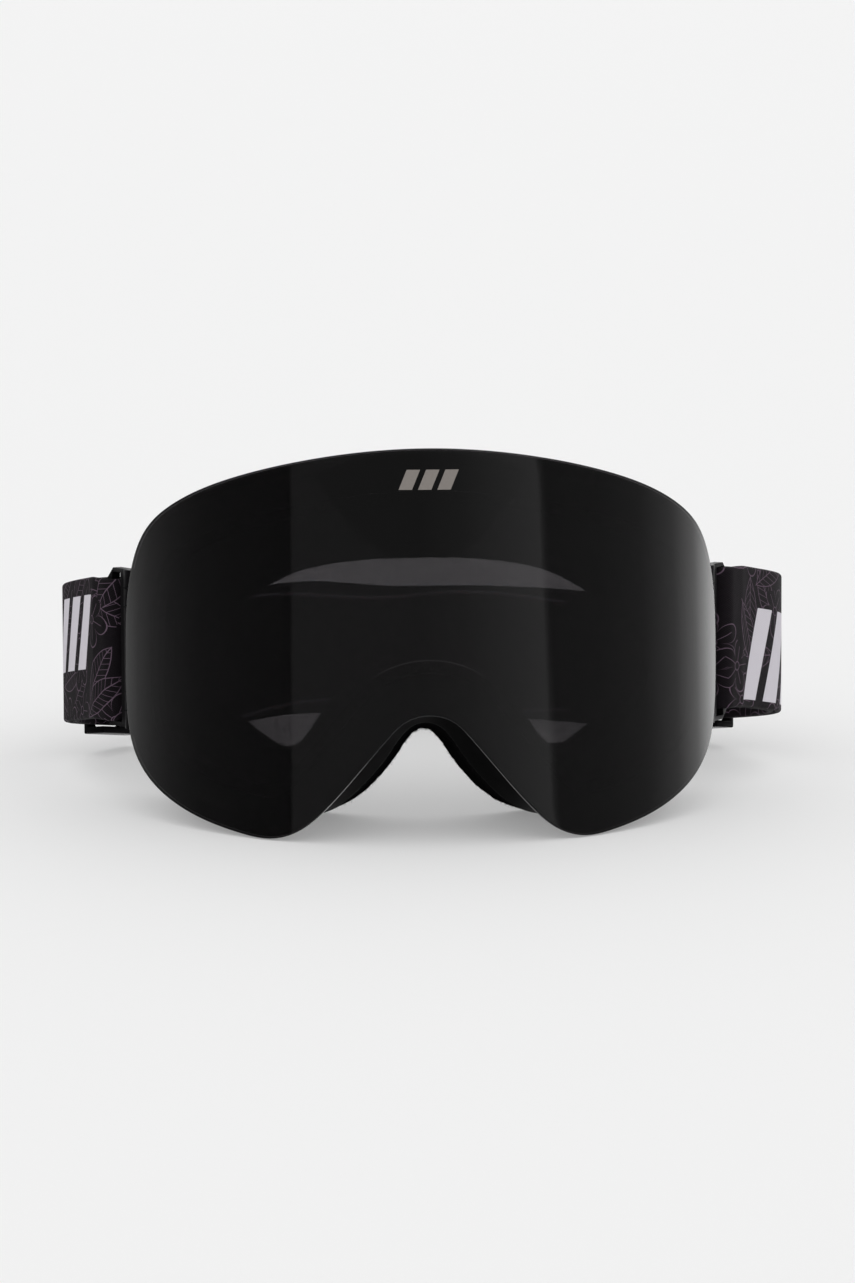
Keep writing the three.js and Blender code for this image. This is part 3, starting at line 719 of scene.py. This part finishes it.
def glowing_glue_line():
    """The thin bead of adhesive between the two lenses that shows over the nose; its material glows a
    little though it is no lamp, a painted highlight that makes it show as a light line.
    """
    middle = inset(lens_edge, GLUE_INSET)
    nose = len(middle) // 2
    path = middle[nose - 3 * FINE:nose + 3 * FINE + 1]
    path = path[np.abs(path[:, 0]) < GLUE_REACH]
    thin = GLUE_RADIUS * np.clip((GLUE_REACH - np.abs(path[:, 0])) / GLUE_FADE, 0.25, 1)
    none = np.zeros_like(thin)
    sections = []
    for turn in np.arange(0, 2 * math.pi, math.pi / 4):
        shifted = path + np.stack([none, thin * math.sin(turn)], 1)
        deeper = np.stack([none, thin * math.cos(turn), none], 1)
        sections.append(on_lens(shifted, GLUE_DEPTH) + deeper)
    return rod("lens_glue_line_with_painted_glow", np.stack(sections, 1), GLUE_WITH_PAINTED_GLOW, "lens")


outer_lens = lens_plate("tinted_lens", 0, OUTER_LENS, (LENS_TINT, LENS_RIM), 150, 24)
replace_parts(outer_lens, "outer_lens")
lens_ring("lens_border_print", BORDER_BAND, BORDER_PRINT, BORDER, "lens", 0.05)
clear = (LENS_CLEAR, LENS_CLEAR)
inner_lens = lens_plate("clear_lens", INNER_INSET, INNER_LENS, clear, 110, 16)
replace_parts(inner_lens, "inner_lens")
lens_mark()
glowing_glue_line()


# ---------- pieces that keep their CAD shape, with worked edges ----------
def worked(node, body, look, edge):
    """A copy of a CAD node with its flat facets joined and its edges rounded."""
    mesh = frame["nodes"][node].data.copy()
    tidy = bmesh.new()
    tidy.from_mesh(mesh)
    bmesh.ops.remove_doubles(tidy, verts=tidy.verts, dist=1e-6)
    bmesh.ops.dissolve_limit(tidy, angle_limit=math.radians(1), verts=tidy.verts, edges=tidy.edges)
    tidy.to_mesh(mesh)
    tidy.free()
    mesh.materials.clear()
    mesh.materials.append(look)
    mesh.shade_smooth()
    made = linked(node + "_finished", mesh)
    bevel = made.modifiers.new("edges", "BEVEL")
    bevel.width = edge / 1000
    bevel.segments = 3
    bevel.limit_method = "ANGLE"
    bevel.angle_limit = math.radians(28)
    bevel.harden_normals = True
    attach(made, body)
    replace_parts(made, node)


SIDES = (("right", 1), ("left", -1))
for side, _ in SIDES:
    worked(f"strap_clip_{side}", f"clip_{side}", PLASTIC, 0.55)
    worked(f"slider_{side}", f"adjuster_{side}", PLASTIC, 0.5)
    worked(f"outrigger_{side}", "frame", PLASTIC, 0.4)
    worked(f"clip_pin_{side}", "frame", STEEL, 0.2)
for i in range(1, 9):
    worked(f"lens_magnet_{i}", "lens", NICKEL, 0.25)
    worked(f"frame_magnet_{i}", "frame", NICKEL, 0.25)
worked("lens_carrier", "lens", PLASTIC, 0.2)
worked("frame_front", "frame", PLASTIC, 0.2)
spacer = lens_ring("lens_gasket", GASKET_BAND, GASKET, VENT, "lens", 0.4)
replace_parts(spacer, "lens_spacer")


def outline_places():
    """Place along the outline, counted in outline points from the top centre, the same on both halves."""
    count = np.arange(len(foam_edge))
    return np.minimum(count, len(foam_edge) - count)[:, None] / FINE


def nose_flare(forward):
    """Over the nose the foam widens towards the face."""
    over_nose = np.clip((outline_places() - NOSE_FROM) / NOSE_FADE, 0, 1)
    to_face = 1 - forward / FOAM_REAR
    return over_nose * (NOSE_FLARE * to_face - NOSE_TUCK)


# ---------- soft frame ----------
def window_outline(x, width):
    """A rounded rectangle in the wall, seen from above, turned square to the lens."""
    inner = LENS_RADIUS - SKIRT_FRONT
    front = LENS_RADIUS - math.sqrt(inner**2 - (x * inner / LENS_RADIUS) ** 2)
    back = FACE_DEPTH + x * x / (2 * FACE_RADIUS) - FOAM_REAR - FLANGE
    long, wide = (back - front) * WINDOW_SHARE / 2, width / 2
    turn = math.atan(x / LENS_RADIUS)
    corner = min(WINDOW_CORNER, long * 0.8)
    outline = []
    for cx, cy, start in ((1, 1, 0), (-1, 1, 90), (-1, -1, 180), (1, -1, 270)):
        for step in range(5):
            a = math.radians(start + step * 22.5)
            px = cx * (wide - corner) + corner * math.cos(a)
            py = cy * (long - corner) + corner * math.sin(a)
            outline.append((px * math.cos(turn) - py * math.sin(turn) + x,
                            px * math.sin(turn) + py * math.cos(turn) + (front + back) / 2))
    return outline


def window_cutters():
    """Rounded blocks where the air windows pass through the skirt's wall."""
    cutters = []
    for _, sign in SIDES:
        for across, level, bow, middle, width in WINDOWS:
            for x in across:
                z = level + (x - middle) ** 2 / bow
                outline = [(sign * px, py) for px, py in window_outline(x, width)]
                points = [(px, py, z - WINDOW_HALF_HEIGHT) for px, py in outline]
                points += [(px, py, z + WINDOW_HALF_HEIGHT) for px, py in outline]
                faces = capped_faces(2, len(outline))
                cutters.append(piece("window", points, faces, SOFT, None, smooth=False))
    return cutters


def cut_away(made, cutters):
    """Cuts the blocks out of a piece and removes them."""
    bpy.context.view_layer.objects.active = made
    for cutter in cutters:
        boolean = made.modifiers.new("window", "BOOLEAN")
        boolean.operation = "DIFFERENCE"
        boolean.solver = "EXACT"
        boolean.object = cutter
        bpy.ops.object.modifier_apply(modifier=boolean.name)
    for cutter in cutters:
        bpy.data.objects.remove(cutter)


def skirt():
    """The soft wall from the lens ring back to the flange that carries the face foam."""
    every = slice(None, None, 2)
    lens, foam, eye = lens_edge[every], inset(foam_edge, -nose_flare(FOAM_REAR))[every], eye_edge[every]
    flange_in = eye + (foam - eye) * FLANGE_REACH
    wall_in = inset(foam, SKIRT_WALL)
    corners = np.stack([
        on_lens(inset(lens, SKIRT_BAND[0]), SKIRT_FRONT), on_face(foam, FOAM_REAR),
        on_face(flange_in, FOAM_REAR), on_face(flange_in, FOAM_REAR + FLANGE),
        on_face(wall_in, FOAM_REAR + FLANGE), on_lens(inset(lens, SKIRT_BAND[1]), SKIRT_FRONT),
    ], 1)
    made = ring("soft_frame_wall", rounded(corners, 0.6, 3), SOFT, "frame")
    cut_away(made, window_cutters())
    made.data.shade_smooth()
    even_shading(made)
    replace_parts(made, "frame_skirt")


skirt()


def vent_foam(name, node, first, last):
    """Open-cell foam behind the air windows, between two stations of the outline."""
    count = len(foam_edge)
    at = [k % count for k in range(first * FINE, last * FINE + 1, 4)]
    front, rear = SKIRT_FRONT + VENT_GAP, FOAM_REAR + FLANGE + VENT_GAP
    at_lens, at_face = SKIRT_BAND[1] + VENT_GAP, SKIRT_WALL + VENT_GAP
    corners = np.stack([
        on_lens(inset(lens_edge, at_lens), front), on_face(inset(foam_edge, at_face), rear),
        on_face(inset(foam_edge, at_face + VENT_THICKNESS), rear),
        on_lens(inset(lens_edge, at_lens + VENT_THICKNESS), front),
    ], 1)
    made = rod(name, rounded(corners[at], 0.4, 2, 1.2), VENT, "frame")
    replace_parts(made, node)


vent_foam("vent_mesh_top", "vent_foam_top", -4, 4)
vent_foam("vent_mesh_right", "vent_foam_right", 10, 12)
vent_foam("vent_mesh_left", "vent_foam_left", 20, 22)


# ---------- face foam ----------
def eye_close(forward):
    """The eye opening narrows towards the face, most of all at the brow."""
    brow = np.clip((BROW_TO - outline_places()) / BROW_FADE, 0, 1)
    return (EYE_CLOSE + BROW_CLOSE * brow) * (1 - forward / FOAM_REAR)


def foam_layer(name, node, depths, look, radius, spacing, rough, steps=4):
    """One layer of foam following the face: rounded and slightly uneven."""
    back, front = depths
    outer_front, outer_back = (inset(foam_edge, -nose_flare(depth)) for depth in (front, back))
    inner_front, inner_back = (inset(eye_edge, eye_close(depth)) for depth in (front, back))
    corners = np.stack([
        on_face(outer_front, front), on_face(outer_back, back),
        on_face(inner_back, back), on_face(inner_front, front),
    ], 1)
    sections = rounded(corners, radius, steps, spacing)
    middle = sections.mean(1, keepdims=True)
    out = sections - middle
    out /= np.linalg.norm(out, axis=2)[:, :, None]
    flat = sections.reshape(-1, 3)
    lift = np.array([
        rough * (noise.noise(Vector(p) * 0.9) + 0.6 * noise.noise(Vector(p) * 2.1)) for p in flat
    ])
    sections = sections + out * lift.reshape(sections.shape[:2])[:, :, None]
    made = ring(name, sections, look, "frame")
    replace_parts(made, node)
    return sections


foam_layer("foam_base_layer", "foam_base", FOAM_BASE, BASE_FOAM, 0.7, 2.5, 0.05, 3)
foam_layer("foam_soft_layer", "foam_soft", FOAM_SOFT, FOAM, 1.6, 1.6, 0.12)
fleece_sections = foam_layer(
    "fleece_layer", "foam_fleece", FOAM_FLEECE, FLEECE, 1.1, 0.9, 0.22)


FIBRES = 26000
FIBRE_LENGTH = (0.35, 1.0)
FIBRE_HALF_WIDTH = 0.045
FIBRE_LEAN = 0.55
FIBRE_ROOT = 0.1  # how deep a fibre starts in the fleece


def fleece_fibres():
    """Short fibres standing out of the fleece, as thin three-sided spikes."""
    draw = np.random.default_rng(7)
    stations, size = fleece_sections.shape[:2]
    count = FIBRES
    i = draw.integers(0, stations, count)
    j = draw.integers(0, size, count)
    here = fleece_sections[i, j]
    beside = fleece_sections[(i + 1) % stations, j]
    below = fleece_sections[i, (j + 1) % size]
    share = draw.random((count, 2))
    root = here + (beside - here) * share[:, :1] + (below - here) * share[:, 1:]
    normal = unit(np.cross(beside - here, below - here))
    away = root - fleece_sections.mean(1)[i]
    normal *= np.sign((normal * away).sum(1))[:, None]
    lean = unit(normal + draw.normal(0, FIBRE_LEAN, (count, 3)))
    length = draw.uniform(*FIBRE_LENGTH, count)
    side = unit(np.cross(lean, draw.normal(0, 1, (count, 3))))
    other = np.cross(lean, side)
    points = np.empty((count, 4, 3))
    for k in range(3):
        a = k * 2 * math.pi / 3
        out = (side * math.cos(a) + other * math.sin(a)) * FIBRE_HALF_WIDTH
        points[:, k] = root - lean * FIBRE_ROOT + out
    points[:, 3] = root + lean * length[:, None]
    points = points[row(points)[:, :, 2].min(1) > 0]  # none of them reaches into the table
    faces = []
    for n in range(0, len(points) * 4, 4):
        faces += [(n, n + 2, n + 1), (n, n + 1, n + 3), (n + 1, n + 2, n + 3), (n + 2, n, n + 3)]
    piece("fleece_fibres", points.reshape(-1, 3), faces, FLEECE, "frame", smooth=False)


fleece_fibres()


# ---------- strap ----------
def bezier(a, b, c, d, count):
    u = np.linspace(0, 1, count)[:, None]
    return (1 - u) ** 3 * a + 3 * u * (1 - u) ** 2 * b + 3 * u * u * (1 - u) * c + u**3 * d


def length_of(path):
    return np.linalg.norm(np.diff(path, axis=0), axis=1).sum()


def even(path, step):
    """A path with points at an even distance, and their distances from its start."""
    lengths = np.concatenate([[0], np.cumsum(np.linalg.norm(np.diff(path, axis=0), axis=1))])
    count = max(2, int(round(lengths[-1] / step)) + 1)
    at = np.linspace(0, lengths[-1], count)
    return np.stack([np.interp(at, lengths, path[:, k]) for k in (0, 1)], 1), at


START_SPOT = PIN[:2] + CLIP_WAY * STRAP_START
STRAIGHT_TO = STRAIGHT_FROM + SLIDER_WAY * STRAIGHT
REAR_WAY = np.array([-1.0, 0.0])
ACROSS_CLIP = np.array([CLIP_WAY[1], -CLIP_WAY[0]])
ACROSS_SLIDER = np.array([SLIDER_WAY[1], -SLIDER_WAY[0]])
side_curve = bezier(
    START_SPOT, START_SPOT + CLIP_WAY * BEND, STRAIGHT_FROM - SLIDER_WAY * BEND, STRAIGHT_FROM, 60)
back_curve = bezier(
    STRAIGHT_TO, STRAIGHT_TO + SLIDER_WAY * BEND, REAR_SPOT - REAR_WAY * BEND, REAR_SPOT, 60)
route = np.concatenate([side_curve, [STRAIGHT_TO], back_curve[1:], [(0.0, REAR_SPOT[1])]])


def larger(a, b, soft):
    """The larger of two values, changing over smoothly."""
    return (a + b + np.sqrt((a - b) ** 2 + soft * soft)) / 2


def strap_middle(y):
    """Height of the strap's middle line: it sinks towards the back, where it stands on the table."""
    slope = math.tan(LEAN_BACK)
    on_table = FLOOR_AT_LENS + slope * y + STRAP_WIDTH / 2
    at_table = FLOOR_AT_LENS + slope * TABLE_FROM + STRAP_WIDTH / 2
    fall = (PIN[2] - at_table) / (TABLE_FROM - START_SPOT[1])
    falling = PIN[2] - fall * larger(y - START_SPOT[1], 0, 3)
    return larger(falling, on_table, 1.2)


def bulged(y, sign):
    """How much further out the strap curves beside the clip; on the left it curves less."""
    share = np.clip((y - PIN[1] - BULGE_FROM) / BULGE_LONG, 0, 1)
    return (BULGE_RIGHT if sign > 0 else BULGE_LEFT) * np.sin(math.pi * share) ** 2


def slipped(x, y, sign):
    """How far the strap sits off its middle line: in the clips, and in a low rise behind on the left."""
    share = np.clip((y - PIN[1]) / SLIP_FADES, 0, 1)
    in_clip = sign * STRAP_SHIFT * (1 - share * share * (3 - 2 * share))
    if sign > 0:
        return in_clip
    return in_clip + REAR_RISE * np.sin(math.pi * np.minimum(np.abs(x) / REAR_RISE_REACH, 1)) ** 2


def normals_of(path):
    way = unit(np.gradient(path, axis=0))
    return np.stack([way[:, 1], -way[:, 0]], 1)


def layer_path(side):
    """Middle of one of the two layers: they part from each other towards the clip's bar."""
    path, length = even(route, 0.7)
    close = LAYER_GAP / 2 + STRAP_THICKNESS / 2
    share = np.clip(1 - length / LAYERS_PART, 0, 1) ** 2
    offset = close + (LOOP_RADIUS - close) * share
    return path + side * normals_of(path) * offset[:, None], length


def turn_path():
    """Round the clip's bar, from the outer layer to the returning one."""
    bar = PIN[:2] + CLIP_WAY * CLIP_REACH
    turns = np.linspace(-math.pi / 2, math.pi / 2, 25)[:, None]
    return bar - LOOP_RADIUS * (CLIP_WAY * np.cos(turns) + ACROSS_CLIP * np.sin(turns))


outer_layer, _ = layer_path(1)
inner_layer, inner_length = layer_path(-1)
inner_layer = inner_layer[inner_length <= RETURN_FROM]
loop = turn_path()
FROM_CLIP = length_of(np.concatenate([outer_layer[::-1], loop[:13]]))
RETURNED = length_of(np.concatenate([loop[12:], inner_layer]))
STRAP_LENGTH = 2 * FROM_CLIP


def webbing_profile(thickness):
    """Cross-section of the webbing: two flat faces and rounded selvedges."""
    half, edge = STRAP_WIDTH / 2, thickness / 2
    turns = np.linspace(-math.pi / 2, math.pi / 2, 7)[1:-1]
    heights = np.linspace(-(half - edge), half - edge, 45)
    profile = [(edge, z) for z in heights]
    profile += [(-edge * math.sin(a), half - edge + edge * math.cos(a)) for a in turns]
    profile += [(-edge, z) for z in heights[::-1]]
    profile += [(edge * math.sin(a), edge - half - edge * math.cos(a)) for a in turns]
    return np.array(profile)


def webbing_piece(name, path, sign, printed_side, chart_from, thickness=STRAP_THICKNESS):
    """Webbing along a path seen from above, charted from the left clip's bar to the right one's."""
    path, length = even(path, 0.9)
    normals = normals_of(path)
    profile = webbing_profile(thickness)
    stations, size = len(path), len(profile)
    points = np.empty((stations, size, 3))
    for j, (out, z) in enumerate(profile):
        spot = path + normals * out
        points[:, j, :2] = spot
        points[:, j, 2] = strap_middle(spot[:, 1]) + slipped(spot[:, 0], spot[:, 1], sign) + z
    points[:, :, 0] += bulged(points[:, :, 1], sign)
    points[:, :, 0] *= sign
    whole = np.concatenate([points.reshape(-1, 3), points[0], points[-1]])
    faces = grid_faces(stations, size, False, True)
    faces += [tuple(range(k, k + size)) for k in (stations * size, (stations + 1) * size)]
    made = piece(name, whole, faces, WEBBING, None)
    along = chart_from - length
    along = STRAP_LENGTH - along if sign > 0 else along
    along = np.concatenate([np.repeat(along, size), np.full(size, along[0]), np.full(size, along[-1])])
    across = np.tile(profile[:, 1], stations + 2)
    index = np.empty(len(made.data.loops), int)
    made.data.loops.foreach_get("vertex_index", index)
    chart = made.data.uv_layers.new(name="strap")
    places = np.stack([along[index], across[index]], 1) / CHART_UNIT
    chart.data.foreach_set("uv", places.ravel().astype(np.float32))
    flags = made.data.attributes.new("outer_face", "FLOAT", "POINT")
    printed = profile[:, 0] * printed_side > thickness * 0.15
    flags.data.foreach_set("value", np.tile(printed, stations + 2).astype(np.float32))
    return made


def beside(spot, sign):
    """A spot on the strap's middle line, in the row."""
    return tuple(row(np.array([spot[0] * sign, spot[1], strap_middle(spot[1])])))


ANCHOR_THICKNESS = 1.5
ANCHOR_NEAR, ANCHOR_FAR = -1.05, -5.0  # middle of the webbing on both sides of the adjuster's bar
ANCHOR_BAR = 0.8  # half the bar, along the strap
LEAD_TO, UNDER_SLIDER, SEWN_TO = -8.5, -5.5, -7.5  # from the adjuster's middle


def strap_half(side, sign):
    """From the middle of the back to the clip, round its bar and back under itself."""
    path = np.concatenate([outer_layer[::-1], loop[1:-1], inner_layer])
    made = webbing_piece(f"strap_{side}", path, sign, -1, FROM_CLIP)
    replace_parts(made, f"strap_loop_{side}", "strap")
    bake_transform(made)


def strap_end(side, sign):
    """From under the outer layer to the adjuster, and sewn round its middle bar."""
    path, length = layer_path(-1)
    at_slider = length_of(side_curve) + SLIDER_AT
    lead = path[(length >= inner_length[len(inner_layer) - 1]) & (length <= at_slider + LEAD_TO)]
    middle = STRAIGHT_FROM + SLIDER_WAY * SLIDER_AT
    radius = (ANCHOR_NEAR - ANCHOR_FAR) / 2
    between = (ANCHOR_NEAR + ANCHOR_FAR) / 2

    def spot(along, out):
        return middle + SLIDER_WAY * along + ACROSS_SLIDER * out

    turn = [spot(ANCHOR_BAR + radius * math.sin(a), between + radius * math.cos(a))
            for a in np.linspace(0, math.pi, 15)]
    path = np.concatenate([lead, [spot(UNDER_SLIDER, ANCHOR_NEAR)], turn, [spot(SEWN_TO, ANCHOR_FAR)]])
    made = webbing_piece(f"strap_return_{side}_sewn", path, sign, -1, -RETURNED, ANCHOR_THICKNESS)
    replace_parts(made, f"strap_return_{side}", f"strap_anchor_{side}")
    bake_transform(made)


WEBBING = webbing()
for side, sign in SIDES:
    strap_half(side, sign)
    strap_end(side, sign)


def grip_bead(name, node, level):
    """A gently wavy line of silicone inside the back of the strap."""
    behind = route[route[:, 1] > BEAD_FROM]
    path, length = even(np.concatenate([behind, behind[::-1][1:] * (-1, 1)]), 0.8)
    keep = np.abs(length - length[-1] / 2) <= BEAD_REACH
    path, s = path[keep], length[keep] - length[-1] / 2
    inwards = -normals_of(path)
    middle = level * (BEAD_LEVEL - BEAD_WAVE * np.sin(2 * math.pi * s / BEAD_PITCH))
    sections = []
    for a in np.linspace(0, math.pi, 9):
        x, y = (path + inwards * (BEAD_HEIGHT * math.sin(a) + 0.02)).T
        z = strap_middle(y) + np.where(x < 0, slipped(x, y, -1), 0)
        sections.append(np.stack([x, y, z + middle - BEAD_HALF_WIDTH * math.cos(a)], 1))
    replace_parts(rod(name, np.stack(sections, 1), SILICONE, "frame"), node)


grip_bead("grip_line_upper", "grip_bead_upper", 1)
grip_bead("grip_line_lower", "grip_bead_lower", -1)


# ---------- table, light and camera ----------
TABLE_GLOW = 0.25  # stands for the studio's bounced light
TABLE_SIZE = 30  # metres to each side


def floor():
    """A wide white table that polished surfaces don't mirror."""
    points = [(x * TABLE_SIZE, y * TABLE_SIZE, 0) for x, y in ((-1, -1), (1, -1), (1, 1), (-1, 1))]
    look = Look("table", (0.62, 0.62, 0.62), 0.9, Emission_Color=(1, 1, 1, 1), Emission_Strength=TABLE_GLOW)
    look.bump(look.noise(0.5, 2.0), 0.02)
    mesh = bpy.data.meshes.new("table")
    mesh.from_pydata(points, [], [(0, 1, 2, 3)])
    mesh.materials.append(look.material)
    made = linked("table", mesh)
    made.visible_glossy = False


# What polished surfaces mirror, by direction: degrees from straight ahead (towards +X) and brightness.
MIRRORED = [
    (-125, 0.9), (-112, 0.4), (-104, 0.26), (-94, 0.16), (-80, 0.095), (-66, 0.075),
    (-46.2, 0.06), (-46.0, 0.15), (-45.5, 0.15), (-45.3, 0.05), (-44.3, 0.05), (-44.1, 0.19),
    (-20, 0.185), (0, 0.18), (14, 0.24), (28, 0.38), (40.5, 0.52), (40.9, 0.14),
    (60, 0.16), (76, 0.22), (90, 0.47), (101, 1.1), (112, 3.0), (125, 2.2),
]
BRIGHTEST = 3.0
RIGHT_SLANT = 1.2  # how far the bands on the right lean with height
FRONT_LIGHT = 0.3  # how much more light comes from the front than from the sides


def world():
    """A white dome for soft light, and the light and dark studio that only polished surfaces mirror."""
    made = bpy.data.worlds.new("studio")
    bpy.context.scene.world = made
    made.use_nodes = True
    sky = Nodes(made.node_tree)
    way = sky.node("SeparateXYZ", {0: sky.node("TexCoord").outputs["Generated"]})
    azimuth = sky.math("ARCTAN2", way.outputs[0], sky.times(way.outputs[1], -1.0))
    rightwards = sky.node("Math", {0: azimuth, 1: 2.0}, operation="MULTIPLY", use_clamp=True).outputs[0]
    slant = sky.times(sky.times(way.outputs[2], RIGHT_SLANT), rightwards)
    azimuth = sky.math("ADD", azimuth, slant)
    share = sky.math("ADD", sky.times(azimuth, 0.5 / math.pi), 0.5)
    ramp = sky.node("ValToRGB", {0: share})
    stops = ramp.color_ramp.elements
    while len(stops) < len(MIRRORED):
        stops.new(0.5)
    for stop, (degrees, level) in zip(stops, MIRRORED):
        stop.position = degrees / 360 + 0.5
        stop.color = (level / BRIGHTEST,) * 3 + (1,)
    forwards = sky.times(way.outputs[1], -FRONT_LIGHT)
    forwards = sky.times(forwards, sky.node("LightPath").outputs["Is Diffuse Ray"])
    dome = sky.node("Background", {0: (1, 1, 1, 1), 1: sky.math("ADD", forwards, 1.0)})
    studio = sky.node("Background", {0: ramp.outputs[0], 1: BRIGHTEST})
    glossy = sky.node("LightPath").outputs["Is Glossy Ray"]
    mix = sky.node("MixShader", {0: glossy, 1: dome.outputs[0], 2: studio.outputs[0]})
    sky.give(sky.tree.nodes["World Output"].inputs[0], mix.outputs[0])


# Degrees and millimetres in the mask's axes.
CAMERA_TURN, CAMERA_RISE = -2.7, 6.0
CAMERA_AWAY = 1400
CAMERA_AIM = (-0.5, 0.2, 55.0)
CAMERA_SCALE = 3.72  # picture dots to a millimetre at the aim
PICTURE_LONG = 1283  # picture dots along the long side


def camera():
    """A long lens, a little above and to the left of straight in front."""
    data = bpy.data.cameras.new("camera")
    data.sensor_width = 36
    data.sensor_fit = "AUTO"
    data.lens = CAMERA_SCALE * CAMERA_AWAY / PICTURE_LONG * data.sensor_width
    data.clip_start, data.clip_end = 0.05, 100
    made = linked("camera", data)
    turn, rise = math.radians(CAMERA_TURN), math.radians(CAMERA_RISE)
    back = np.array([math.sin(turn) * math.cos(rise), -math.cos(turn) * math.cos(rise), math.sin(rise)])
    aim = np.array(CAMERA_AIM)
    made.location = row(aim + back * CAMERA_AWAY)
    made.rotation_mode = "QUATERNION"
    made.rotation_quaternion = Vector(LEAN @ -back).to_track_quat("-Z", "Y")
    bpy.context.scene.camera = made


floor()
world()
camera()
bpy.context.scene.view_settings.view_transform = "Standard"
